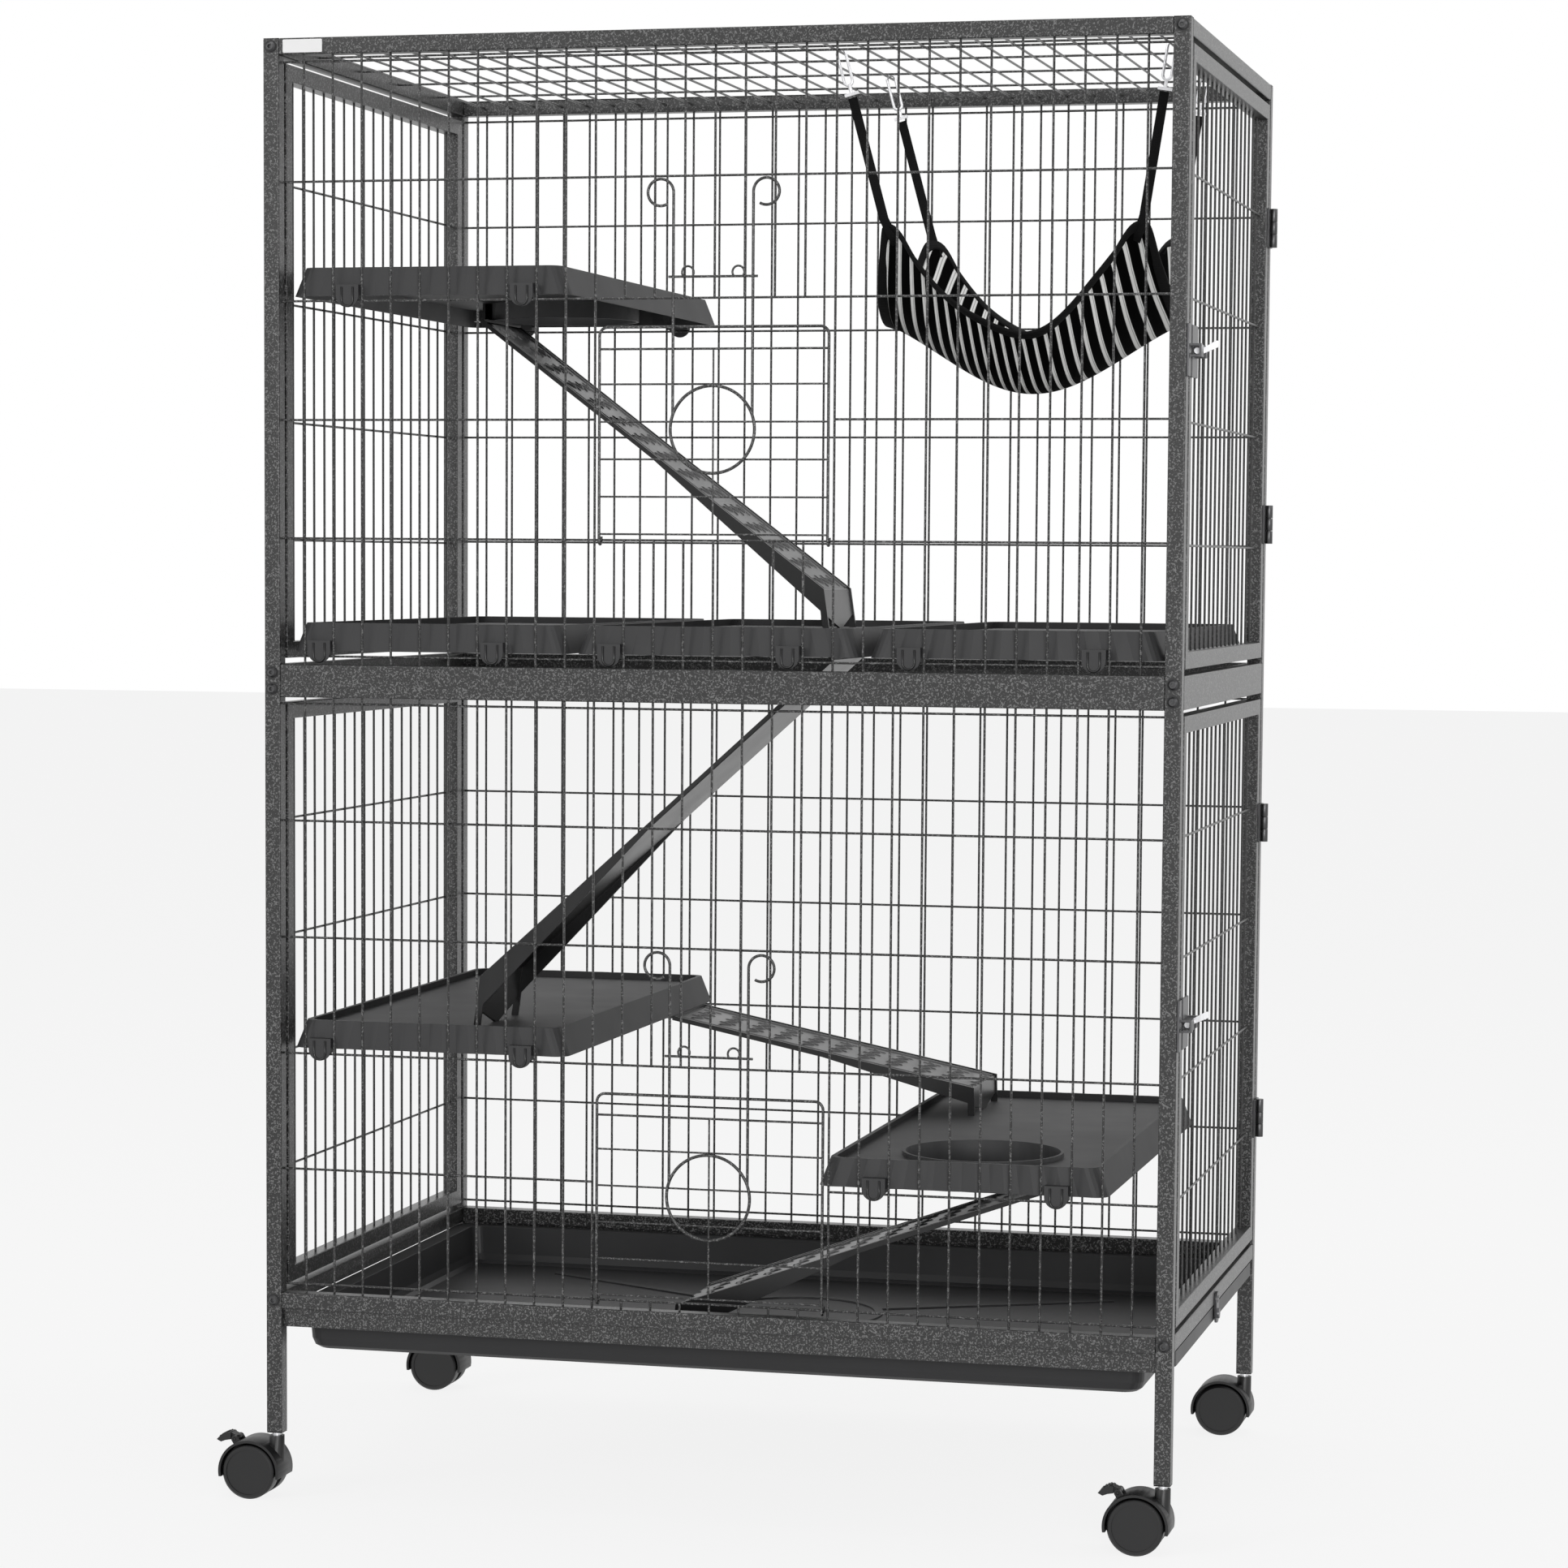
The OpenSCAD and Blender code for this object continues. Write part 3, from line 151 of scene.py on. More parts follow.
def plated_steel(name, dark, pale, roughness):
    """Metal whose colour, roughness and height follow one noise, drawn out along z."""
    material, tree, shader = new_finish(name, Metallic=1.0)
    place = add_node(tree, "TexCoord", out="Object")
    drawn = add_node(tree, "Mapping", {"Vector": place, "Scale": (1.0, 1.0, LINE_STRETCH)})
    lines = add_node(tree, "TexNoise", {"Vector": drawn, "Scale": cells(DRAWN_LINE_MM), "Detail": 2.0})
    metal = add_node(tree, "Mix", {0: lines, 6: linear(dark), 7: linear(pale)}, out=2, data_type="RGBA")
    tree.links.new(metal, shader.inputs["Base Color"])
    rough = add_node(tree, "MapRange", {"Value": lines, "To Min": roughness, "To Max": roughness + 0.15})
    tree.links.new(rough, shader.inputs["Roughness"])
    relief = add_node(tree, "Bump", {"Height": lines, "Strength": 0.05, "Distance": 0.0001})
    tree.links.new(relief, shader.inputs["Normal"])
    return material


# bright zinc: nearly white, mirrors the studio softly
ZINC = plated_steel("zinc plated steel", "d4d4d6", "f0f0f2", 0.32)
# brushed steel, painted darker than the bare metal as painted shade on the latches and the lock tab: a mid
# grey that stays below the zinc
SATIN_PAINTED_SHADE = plated_steel("satin steel, darkened as painted shade", "464648", "686869", 0.3)
# darkened in an oxide bath: almost as dark as the coat, but with a metal's glint
PATINA = plated_steel("darkened steel", "3a3a3b", "626263", 0.3)
print("metals:", ", ".join(made.name for made in (ZINC, SATIN_PAINTED_SHADE, PATINA)), "with lines", DRAWN_LINE_MM,
      "mm apart")

# %% [markdown]
# ## Moulded plastics
# Shelves, ramps, bin and casters come out of moulds whose walls are spark-eroded, so their skin is a fine
# grain over a colour that is never quite even. The grain could be displaced, but at about 0.1 mm it is lost
# in a picture of a whole cage: it is drawn 1.1 mm wide as a bump, and broad clouds vary colour and gloss.

# %% Moulded plastic
CLOUD_MM, SKIN_GRAIN_MM = 55.556, 1.1111
PLASTIC_IOR = 1.49      # that of polypropylene, taken for all the plastics here


def moulded_plastic(name, dark, pale, roughness, specular=0.5):
    """Plastic with broad clouds in colour and roughness, and a grain in its normal."""
    material, tree, shader = new_finish(name, IOR=PLASTIC_IOR, Specular_IOR_Level=specular)
    place = add_node(tree, "TexCoord", out="Object")
    clouds = add_node(tree, "TexNoise", {"Vector": place, "Scale": cells(CLOUD_MM), "Detail": 3.0})
    tint = add_node(tree, "Mix", {0: clouds, 6: linear(dark), 7: linear(pale)}, out=2, data_type="RGBA")
    tree.links.new(tint, shader.inputs["Base Color"])
    rough = add_node(tree, "MapRange", {"Value": clouds, "To Min": roughness - 0.05,
                                        "To Max": roughness + 0.08})
    tree.links.new(rough, shader.inputs["Roughness"])
    grain = add_node(tree, "TexNoise", {"Vector": place, "Scale": cells(SKIN_GRAIN_MM), "Detail": 2.0})
    relief = add_node(tree, "Bump", {"Height": grain, "Strength": 0.12, "Distance": 0.0002})
    tree.links.new(relief, shader.inputs["Normal"])
    return material


# moulded with a dull texture: charcoal, hardly any gloss
SHELF = moulded_plastic("shelf polypropylene", "262627", "2c2c2d", 0.58)
# the grips on the ramps' tops: the ramp plastic painted lighter, as painted light on the tread: charcoal with
# a gleam
TREAD_PAINTED_LIGHT = moulded_plastic("ramp polypropylene, lightened as painted light on the tread", "262627", "2e2e2f", 0.3)
# the smooth sides and undersides of the ramps: close to black
RAMP = moulded_plastic("ramp polypropylene, smooth", "080809", "0e0e0f", 0.30)
# formed sheet of the bin, taken to be polystyrene: charcoal, a little smoother than the shelves
TUB = moulded_plastic("bin polystyrene", "282829", "303031", 0.42, specular=0.3)
# dense moulded nylon of the casters: black with a soft shine
NYLON = moulded_plastic("caster nylon", "060607", "0b0b0c", 0.42)
# soft end plugs, and the dark discs of painted shade under the bolts: matt black
PLUG = moulded_plastic("black polyethylene", "141415", "1c1c1d", 0.55)
# bare lacquered plate on the top rail: plain white
LABEL = moulded_plastic("blank white plate", "ececec", "f4f4f4", 0.3)
print("plastics:", *(made.name for made in (SHELF, TREAD_PAINTED_LIGHT, RAMP, TUB, NYLON, PLUG, LABEL)), sep="\n  ")

# %% [markdown]
# ## Cotton and webbing
# The hammock is printed cotton: black with white lines 12.5 mm apart. An image could carry the print, but
# a few Math nodes keep it sharp at any distance. The lines follow the cloth and not the room, so they are
# drawn over the flat pattern of the cloth, whose map is in millimetres, and two crossed waves give the
# weave its relief. The straps and the binding are nylon tape, whose ribs run across it.

# %% Striped cotton
STRIPE_MM, THREAD_MM, WAVE_PERIOD = 12.5, 0.608, math.pi / 10      # a wave of scale 1 repeats after 0.314


def striped_cotton(name, half, hairline):
    """White within the share `half` of the pitch from its line, greyed along a hairline at another share."""
    material, tree, shader = new_finish(name, Roughness=0.9, IOR=1.45, Specular_IOR_Level=0.05)
    flat = add_node(tree, "UVMap", uv_map="flat")
    across = add_node(tree, "SeparateXYZ", {0: flat})
    pitches = add_node(tree, "Math", {0: across, 1: STRIPE_MM}, operation="DIVIDE")
    part = add_node(tree, "Math", {0: pitches}, operation="FRACT")
    signed = add_node(tree, "Math", {0: part, 1: 0.5}, operation="SUBTRACT")
    off_line = add_node(tree, "Math", {0: signed}, operation="ABSOLUTE")
    line = add_node(tree, "MapRange", {"Value": off_line, "From Min": half * 0.85, "From Max": half * 1.15,
                                       "To Min": 1.0, "To Max": 0.0}, interpolation_type="SMOOTHSTEP")
    beside = add_node(tree, "Math", {0: part, 1: hairline}, operation="SUBTRACT")
    off_hair = add_node(tree, "Math", {0: beside}, operation="ABSOLUTE")
    grey = add_node(tree, "MapRange", {"Value": off_hair, "From Min": 0.01, "From Max": 0.04, "To Min": 0.5})
    print_white = add_node(tree, "Math", {0: line, 1: grey}, operation="MULTIPLY")
    dye = add_node(tree, "Mix", {0: print_white, 6: linear("020202"), 7: linear("f4f4f2")}, out=2,
                   data_type="RGBA")
    tree.links.new(dye, shader.inputs["Base Color"])
    threads = [add_node(tree, "TexWave", {"Vector": flat, "Scale": WAVE_PERIOD / THREAD_MM}, out="Fac",
                        bands_direction=way) for way in ("X", "Y")]
    weave = add_node(tree, "Math", {0: threads[0], 1: threads[1]}, operation="MULTIPLY")
    relief = add_node(tree, "Bump", {"Height": weave, "Strength": 0.3, "Distance": 0.0003})
    tree.links.new(relief, shader.inputs["Normal"])
    return material


# printed plain weave, face side: crisp white lines on matt black
CLOTH_OUT = striped_cotton("striped cotton, outer face", 0.155, 0.57)
# the same print seen from inside, where the lines look a little wider
CLOTH_IN = striped_cotton("striped cotton, inner face", 0.17, 0.5)
print("cotton with lines every", STRIPE_MM, "mm and threads of", THREAD_MM, "mm")

# %% Webbing
TAPE_RIB_MM = 1.2083


def black_webbing(name):
    """Colour and height follow one wave along z, whose period is one rib of the tape."""
    material, tree, shader = new_finish(name, Roughness=0.75, IOR=1.5, Specular_IOR_Level=0.15)
    place = add_node(tree, "TexCoord", out="Object")
    ribs = add_node(tree, "TexWave", {"Vector": place, "Scale": WAVE_PERIOD * cells(TAPE_RIB_MM)}, out="Fac",
                    bands_direction="Z")
    dye = add_node(tree, "Mix", {0: ribs, 6: linear("030303"), 7: linear("0a0a0b")}, out=2, data_type="RGBA")
    tree.links.new(dye, shader.inputs["Base Color"])
    relief = add_node(tree, "Bump", {"Height": ribs, "Strength": 0.3, "Distance": 0.0003})
    tree.links.new(relief, shader.inputs["Normal"])
    return material


# woven nylon tape: deep black, fine ribs that catch a little light
TAPE = black_webbing("black nylon webbing")
print("webbing with ribs every", TAPE_RIB_MM, "mm")

# %% [markdown]
# ## Finishes on the solids
# Each solid of the CAD model names a slot, which says what it is made of. Giving each solid its material by
# hand would be long, so a table gives each slot its finish. Two kinds of solid differ from their slot: the
# side bars, which take a darker copy of the coat as painted shade, and the lock tab of the bin, which takes
# the darkened satin steel in place of zinc, also as painted shade.

# %% Finishes on the solids
FINISH_OF_SLOT = {
    "hammertone": COAT, "dark_steel": PATINA, "bright_steel": ZINC, "latch_steel": SATIN_PAINTED_SHADE,
    "shelf_plastic": SHELF, "ramp_plastic": RAMP, "bin_plastic": TUB, "caster_plastic": NYLON,
    "plug_plastic": PLUG, "cloth": CLOTH_OUT, "webbing": TAPE, "label_white": LABEL,
}
# the side bars and the lock tab take darker finishes than their slots: painted shade
FINISH_OF_NODE = {"left_panel_bars": SHADED_BAR_COAT, "upper_door_bars": SHADED_BAR_COAT, "lower_door_bars": SHADED_BAR_COAT,
                  "bin_lock_tab": SATIN_PAINTED_SHADE}
for part in frame["record"]["subparts"]:
    solid = nodes[part["node"]]
    solid.data.materials.clear()
    solid.data.materials.append(FINISH_OF_NODE.get(part["node"], FINISH_OF_SLOT[part["material_slot"]]))

# %% [markdown]
# ## Rounded edges
# No tube and no moulding has a knife edge: a small radius there catches a line of light. The edges could be
# rounded in the CAD model, but that makes heavy files. Modifiers do it here: the loose triangles are
# welded, the sharp edges bevelled, and the shading is kept flat on the faces between them.

# %% Rounded edges
MM = 0.001
EDGE_MM = {
    "corner_posts": 1.4, "top_rails": 1.2, "middle_rails": 1.2, "base_rails": 1.2, "left_panel_frames": 0.8,
    "upper_door_frame": 0.8, "lower_door_frame": 0.8, "tray_guides": 0.5, "label_plate": 0.2,
    "hinge_post_leaves": 0.3, "upper_door_hinge_leaves": 0.3, "lower_door_hinge_leaves": 0.3,
    "latch_keepers": 0.4, "upper_latch_plate": 0.4, "lower_latch_plate": 0.4, "bin": 1.0,
    "caster_hood_fl": 0.8, "caster_hood_fr": 0.8, "caster_hood_bl": 0.8, "caster_hood_br": 0.8,
    "caster_wheels_fl": 0.7, "caster_wheels_fr": 0.7, "caster_wheels_bl": 0.7, "caster_wheels_br": 0.7,
    "brake_lever_fl": 0.5, "brake_lever_fr": 0.5, "bin_lock_tab": 0.3,
    "shelf_upper_left": 0.8, "shelf_middle_left": 0.8, "shelf_middle": 0.8, "shelf_middle_right": 0.8,
    "shelf_lower_left": 0.8, "shelf_lower_right": 0.8,
    "ramp_upper": 0.6, "ramp_middle": 0.6, "ramp_lower": 0.6, "ramp_bottom": 0.6,
}
SHARP_DEGREES, WELD_WITHIN = 40.0, 0.00001


def soften(name, width_mm):
    """Rounds the sharp edges of a solid with two modifiers."""
    weld = nodes[name].modifiers.new("weld", "WELD")
    weld.merge_threshold = WELD_WITHIN
    bevel = nodes[name].modifiers.new("rounded edges", "BEVEL")
    bevel.width = width_mm * MM
    bevel.segments = 2
    bevel.limit_method = "ANGLE"
    bevel.angle_limit = math.radians(SHARP_DEGREES)
    bevel.harden_normals = True


for solid_name, edge_mm in EDGE_MM.items():
    soften(solid_name, edge_mm)
print("rounded the edges of", len(EDGE_MM), "solids by", min(EDGE_MM.values()), "to",
      max(EDGE_MM.values()), "mm")

# %% [markdown]
# ## A piece from a grid
# The added pieces could be pushed into shape from Blender's own primitives, but their sizes would then be
# hidden in many small steps. Here each piece starts as a grid of points that numpy works out at once.
# Blender only needs the points and, for each face, the numbers of its corners. Recalculating the normals
# afterwards makes sure that all faces of the closed mesh point outward.

# %% A piece from a grid
def grid_faces(rows, cols, wrap_rows=False, wrap_cols=False, start=0):
    """Quads (i, j), (i, j+1), (i+1, j+1), (i+1, j) of a grid whose points are stored row by row."""
    i, j = np.meshgrid(np.arange(rows if wrap_rows else rows - 1), np.arange(cols if wrap_cols else cols - 1),
                       indexing="ij")
    i2, j2 = (i + 1) % rows, (j + 1) % cols
    quads = np.stack([i * cols + j, i * cols + j2, i2 * cols + j2, i2 * cols + j], axis=-1)
    return (quads.reshape(-1, 4) + start).tolist()


def make_piece(name, points, faces, material, smooth=True):
    """Links a mesh object with outward normals and one material."""
    mesh = bpy.data.meshes.new(name)
    mesh.from_pydata(np.asarray(points, dtype=float).tolist(), [], faces)
    mesh.validate()
    made = bpy.data.objects.new(name, mesh)
    bpy.context.scene.collection.objects.link(made)
    shell = bmesh.new()
    shell.from_mesh(mesh)
    bmesh.ops.recalc_face_normals(shell, faces=shell.faces)
    shell.to_mesh(mesh)
    shell.free()
    mesh.materials.append(material)
    mesh.polygons.foreach_set("use_smooth", [smooth] * len(mesh.polygons))
    print(name, "has", len(mesh.vertices), "points and", len(mesh.polygons), "faces")
    return made


# The cage stands 20 mm to the right of the origin, so that its trailing casters are centred with it.
CAGE_X_MM = 20.0


def to_frame(points_mm):
    """Metres of the frame from cage millimetres: shifted in x, then scaled."""
    return (np.asarray(points_mm) + np.array([CAGE_X_MM, 0, 0])) * MM


# %% [markdown]
# ## Grips of the ramps
# Feet need hold on a steep ramp, so its tread carries moulded zigzags every 27 mm and a double line along
# each edge. They could be a bump in the material, but at this size they cast shadows, so they are real
# relief: a thin skin on the tread, which lies 1.5 mm below the edges. A ridge of half width $w$ round a
# line has the height $h\,\max(0, 1-(d/w)^2)$ at distance $d$, and the skin follows the highest of its
# ridges.

# %% Relief of the tread
GRIP_PITCH_MM, GRIP_TALL_MM, GRIP_HALF_MM = 27.0, 1.4, 1.7
ZIG_WIDE_MM, ZIG_DEEP_MM, GRIP_REACH_MM = 11.0, 7.0, 35
VEIN_TALL_MM, VEIN_HALF_MM, VEIN_REACH_MM = 0.9, 1.3, 8
EDGE_LINES_MM, EDGE_LINE_MM = (43, 48), 1.2


def ridge(distance, half, tall):
    """Height of a rounded ridge: tall in its middle, falling with the square of the distance to 0 at half."""
    return tall * np.clip(1 - (distance / half) ** 2, 0, None)


def grip_height(s, y):
    """Relief in mm at s along the tread and y across it: the highest of zigzags, veins and edge lines."""
    inside = np.abs(y) < GRIP_REACH_MM
    wave = np.abs(((y / ZIG_WIDE_MM) % 2.0) - 1.0)
    place = (s - ZIG_DEEP_MM * wave) % GRIP_PITCH_MM - GRIP_PITCH_MM / 2
    zigzag = ridge(place, GRIP_HALF_MM, GRIP_TALL_MM) * inside
    off_vein = np.abs(((y + ZIG_WIDE_MM / 2) / ZIG_WIDE_MM) % 2.0 - 1.0) * ZIG_WIDE_MM
    vein = ridge(off_vein, VEIN_HALF_MM, VEIN_TALL_MM) * (np.abs(place) < VEIN_REACH_MM) * inside
    lines = np.maximum(*(ridge(np.abs(y) - at_mm, EDGE_LINE_MM, EDGE_LINE_MM) for at_mm in EDGE_LINES_MM))
    return np.maximum(np.maximum(zigzag, vein), lines)


print("grips every", GRIP_PITCH_MM, "mm,", GRIP_TALL_MM, "mm tall, and edge lines at", EDGE_LINES_MM, "mm")

# %% Places of the ramps
BIN_FLOOR_MM = 130.0
TONGUE_DROP_MM = 10.0


def shelf_z_mm(name):
    """Level of a shelf's lower edge: its tongues hang 10 mm below it."""
    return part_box(name)[0][2] / MM + TONGUE_DROP_MM


RAMPS = {
    # name: (x and z of the top, x and z of the bend, y of the middle), in cage millimetres
    "ramp_upper": ((-313.6, shelf_z_mm("shelf_upper_left")), (12.5, shelf_z_mm("shelf_middle") + 54.0),
                   150.0),
    "ramp_middle": ((91.0, shelf_z_mm("shelf_middle")), (-216.4, shelf_z_mm("shelf_lower_left") + 62.5),
                    -150.0),
    "ramp_lower": ((-128.0, shelf_z_mm("shelf_lower_left")), (156.3, shelf_z_mm("shelf_lower_right") + 43.5),
                   150.0),
    "ramp_bottom": ((279.0, shelf_z_mm("shelf_lower_right")), (-41.0, BIN_FLOOR_MM + 48.0), -150.0),
}
for ramp_name, (ramp_top, ramp_bend, ramp_y) in RAMPS.items():
    fall = math.degrees(math.atan2(ramp_top[1] - ramp_bend[1], abs(ramp_top[0] - ramp_bend[0])))
    print(ramp_name, "falls at", round(fall, 1), "degrees")

# %% Skins of the treads
RAMP_HALF_MM, DIP_MM = 55.0, 1.5
SKIN_STEP_MM, SKIN_COLS, SKIN_LIFT_MM, SKIN_DEEP_MM = 1.4, 84, 0.08, 0.4
EDGE_GAP_MM, END_GAP_MM = 4.0, 3.0


def ramp_relief(name, top, bend, y_mid):
    """Skin over one tread: point = top + along * s + up * (grip height - dip), closed 0.4 mm below that."""
    run = np.array([bend[0] - top[0], bend[1] - top[1]])
    length = np.linalg.norm(run)
    along = run / length
    up = np.array([-along[1], along[0]]) * np.sign(along[0])
    rows, cols = int(length / SKIN_STEP_MM), SKIN_COLS
    s = np.linspace(EDGE_GAP_MM, length - END_GAP_MM, rows)[:, None] * np.ones(cols)
    half = RAMP_HALF_MM - EDGE_GAP_MM
    y = np.linspace(-half, half, cols)[None, :] * np.ones((rows, 1))
    sides = []
    for lift in (SKIN_LIFT_MM + grip_height(s, y), -SKIN_DEEP_MM * np.ones_like(y)):
        x = top[0] + along[0] * s + up[0] * (lift - DIP_MM)
        z = top[1] + along[1] * s + up[1] * (lift - DIP_MM)
        sides.append(to_frame(np.stack([x, y + y_mid, z], axis=-1)).reshape(-1, 3))
    under = rows * cols
    faces = grid_faces(rows, cols) + [face[::-1] for face in grid_faces(rows, cols, start=under)]
    order = np.arange(under).reshape(rows, cols)
    rim = np.concatenate([order[0], order[1:, -1], order[-1, -2::-1], order[-2:0:-1, 0]]).tolist()
    faces += [[a, b, b + under, a + under] for a, b in zip(rim, rim[1:] + rim[:1])]
    # the skin takes the lighter copy of the ramp plastic: painted light on the tread
    return make_piece(name + "_grips", np.concatenate(sides), faces, TREAD_PAINTED_LIGHT)


for ramp_name, (ramp_top, ramp_bend, ramp_y) in RAMPS.items():
    piece = ramp_relief(ramp_name, ramp_top, ramp_bend, ramp_y)
    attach(piece, "cage")

# %% [markdown]
# ## Tongues of the shelves
# A shelf hangs by tongues that hook over the mesh wires, and each tongue has a raised U moulded on its
# face. A bump would vanish at the tongue's rim, so the U is a round section carried along a path and half
# sunk in the face. At each station of the path the section keeps as much of its last turn as it can, so it
# never twists.

# %% A section along a path
def sweep(path, section):
    """Path point + side * a + up * b for a section point (a, b); side loses its part along the path."""
    path, section = np.asarray(path, dtype=float), np.asarray(section, dtype=float)
    stations, corners = len(path), len(section)
    ahead = np.roll(path, -1, axis=0) - np.roll(path, 1, axis=0)
    ahead[0], ahead[-1] = path[1] - path[0], path[-1] - path[-2]
    ahead /= np.linalg.norm(ahead, axis=1)[:, None]
    side = np.cross(ahead[0], (0.0, 0.0, 1.0))
    if np.linalg.norm(side) < 0.1:
        side = np.cross(ahead[0], (0.0, 1.0, 0.0))
    rings = []
    for k in range(stations):
        side = side - ahead[k] * np.dot(side, ahead[k])
        side /= np.linalg.norm(side)
        rings.append(path[k] + section[:, :1] * side + section[:, 1:] * np.cross(side, ahead[k]))
    ends = [list(range(corners))[::-1], [(stations - 1) * corners + j for j in range(corners)]]
    return np.concatenate(rings), grid_faces(stations, corners, wrap_cols=True) + ends


def circle(radius, sides):
    """Section whose points are radius times the cosine and sine of even steps round a turn."""
    angle = np.arange(sides) * 2 * math.pi / sides
    return np.stack([radius * np.cos(angle), radius * np.sin(angle)], axis=1)


def join(parts):
    """One list of points and faces from several, with the faces' numbers moved on."""
    points, faces, start = [], [], 0
    for part_points, part_faces in parts:
        points.append(np.asarray(part_points))
        faces += [[corner + start for corner in face] for face in part_faces]
        start += len(part_points)
    return np.concatenate(points), faces


# %% Ridges of the tongues
WIRE_PITCH_MM, TONGUE_FACE_MM = 25.64, 249.15
U_HALF_MM, U_LOW_MM, U_HIGH_MM, U_WIRE_MM = 5.0, -4.0, 7.0, 1.0
TONGUES = {
    # shelf: the gaps between wires, counted from the middle, in which its two tongues hang
    "shelf_upper_left": (-13, -7), "shelf_middle_left": (-14, -8), "shelf_middle": (-4, 2),
    "shelf_middle_right": (6, 12), "shelf_lower_left": (-14, -7), "shelf_lower_right": (5, 11),
}


def tongue_ridge(x_mm, y_mm, z_mm):
    """U of round section: a straight leg, half a turn of 5 mm, a straight leg."""
    angle = np.linspace(math.pi, 2 * math.pi, 11)
    x = np.concatenate([[-U_HALF_MM], U_HALF_MM * np.cos(angle), [U_HALF_MM]])
    z = np.concatenate([[U_HIGH_MM], U_LOW_MM + U_HALF_MM * np.sin(angle), [U_HIGH_MM]])
    return sweep(to_frame(np.stack([x_mm + x, np.full_like(x, y_mm), z_mm + z], axis=1)),
                 circle(U_WIRE_MM * MM, 8))


for shelf_name, gaps in TONGUES.items():
    ridges = [tongue_ridge((k + 0.5) * WIRE_PITCH_MM, y, shelf_z_mm(shelf_name))
              for k in gaps for y in (-TONGUE_FACE_MM, TONGUE_FACE_MM)]
    # the ridges take the near-black ramp plastic instead of the shelf's own colour: painted shade along the U
    piece = make_piece(shelf_name + "_tongue_ridges", *join(ridges), RAMP)
    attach(piece, "cage")

# %% [markdown]
# ## Cloth of the hammock
# The cloth is cut as a rectangle with rounded corners and hangs by them. A cloth simulation would find such
# a form, but a formula gives the same drop each time and can be set against the photograph. At $u$ and $v$
# from 0 to 1, with $p_u=(4u(1-u))^{1.3}$ and $p_v$ alike, it hangs this many millimetres below its corners:
# $92\,p_u(1-p_v) + 79\,p_v(1-p_u) + 140\,p_u p_v$
# A few folds are added, and near a corner the drop fades, which makes the blunt peaks that the straps hold.

# %% Form of the hung cloth
CLOTH_X_MM, CLOTH_Y_MM, CLOTH_Z_MM = (115.92, 336.96), (-127.0, 67.0), 1098.0
SAG_X_MM, SAG_Y_MM, SAG_MIDDLE_MM, SAG_POWER = 92, 79, 140, 1.3
FOLD_MM, PEAK_MM, PEAK_SHARE = 4, 26.0, 0.35
WAIST_MM, WAIST_SHARE, RIM_DROP_MM = 21, 0.05, 1.0


def cloth_point(u, v):
    """Middle surface of the cloth at u, v, in cage millimetres: the drop and folds of the text, drawn in."""
    pu, pv = np.power(4 * u * (1 - u) + 1e-9, SAG_POWER), np.power(4 * v * (1 - v) + 1e-9, SAG_POWER)
    drop = SAG_X_MM * pu * (1 - pv) + SAG_Y_MM * pv * (1 - pu) + SAG_MIDDLE_MM * pu * pv
    folds = FOLD_MM * (np.sin(4 * math.pi * u) * (1 - pv) * pu + np.sin(4 * math.pi * v) * (1 - pu) * pv)
    width, depth = CLOTH_X_MM[1] - CLOTH_X_MM[0], CLOTH_Y_MM[1] - CLOTH_Y_MM[0]
    corner = np.hypot(np.minimum(u, 1 - u) * width, np.minimum(v, 1 - v) * depth)
    near = np.clip(corner / PEAK_MM, 0, 1)
    fade = near * near * (3 - 2 * near)
    x = CLOTH_X_MM[0] + width * u - WAIST_MM * (1 - 2 * u) ** 3 * 4 * v * (1 - v)
    y = CLOTH_Y_MM[0] + depth * (v + WAIST_SHARE * (0.5 - v) * 4 * u * (1 - u))
    z = CLOTH_Z_MM - RIM_DROP_MM - (drop + folds) * (PEAK_SHARE + (1 - PEAK_SHARE) * fade)
    return np.stack([x, y, z], axis=-1)


def cloth_normal(u, v):
    """Unit normal of the cloth, upward: the cross product of small steps in u and v."""
    e = 1e-4
    step_u = cloth_point(np.clip(u + e, 0, 1), v) - cloth_point(np.clip(u - e, 0, 1), v)
    step_v = cloth_point(u, np.clip(v + e, 0, 1)) - cloth_point(u, np.clip(v - e, 0, 1))
    n = np.cross(step_u, step_v)
    return n / np.linalg.norm(n, axis=-1, keepdims=True)


print("lowest point of the cloth", round(float(cloth_point(0.5, 0.5)[2]), 1), "mm, corners", CLOTH_Z_MM, "mm")

# %% [markdown]
# The mesh is a fan in the middle and rings round it, each a smaller copy of the rim, so that the rounded
# corners need no special faces. An upper and a lower layer 1.2 mm apart make a closed sheet.

# %% Mesh of the cloth
CLOTH_THICK_MM, CORNER_SHARE = 1.2, 0.055
RIM_COUNT, RING_COUNT = 320, 44


def rounded_square(points_on_it, radius):
    """u, v along the unit square, with each point beyond a corner's centre pulled in to the radius."""
    t = np.arange(points_on_it) / points_on_it * 4
    side, f = t.astype(int) % 4, t % 1
    zeros, ones = np.zeros_like(f), np.ones_like(f)
    u = np.select([side == 0, side == 1, side == 2, side == 3], [f, ones, 1 - f, zeros])
    v = np.select([side == 0, side == 1, side == 2, side == 3], [zeros, f, ones, 1 - f])
    du, dv = (np.clip(np.abs(w - 0.5) - 0.5 + radius, 0, None) for w in (u, v))
    shrink = np.where((du > 0) & (dv > 0), radius / np.maximum(np.hypot(du, dv), 1e-9), 1.0)
    u = np.where(du > 0, 0.5 + np.sign(u - 0.5) * (0.5 - radius + du * shrink), u)
    v = np.where(dv > 0, 0.5 + np.sign(v - 0.5) * (0.5 - radius + dv * shrink), v)
    return u, v


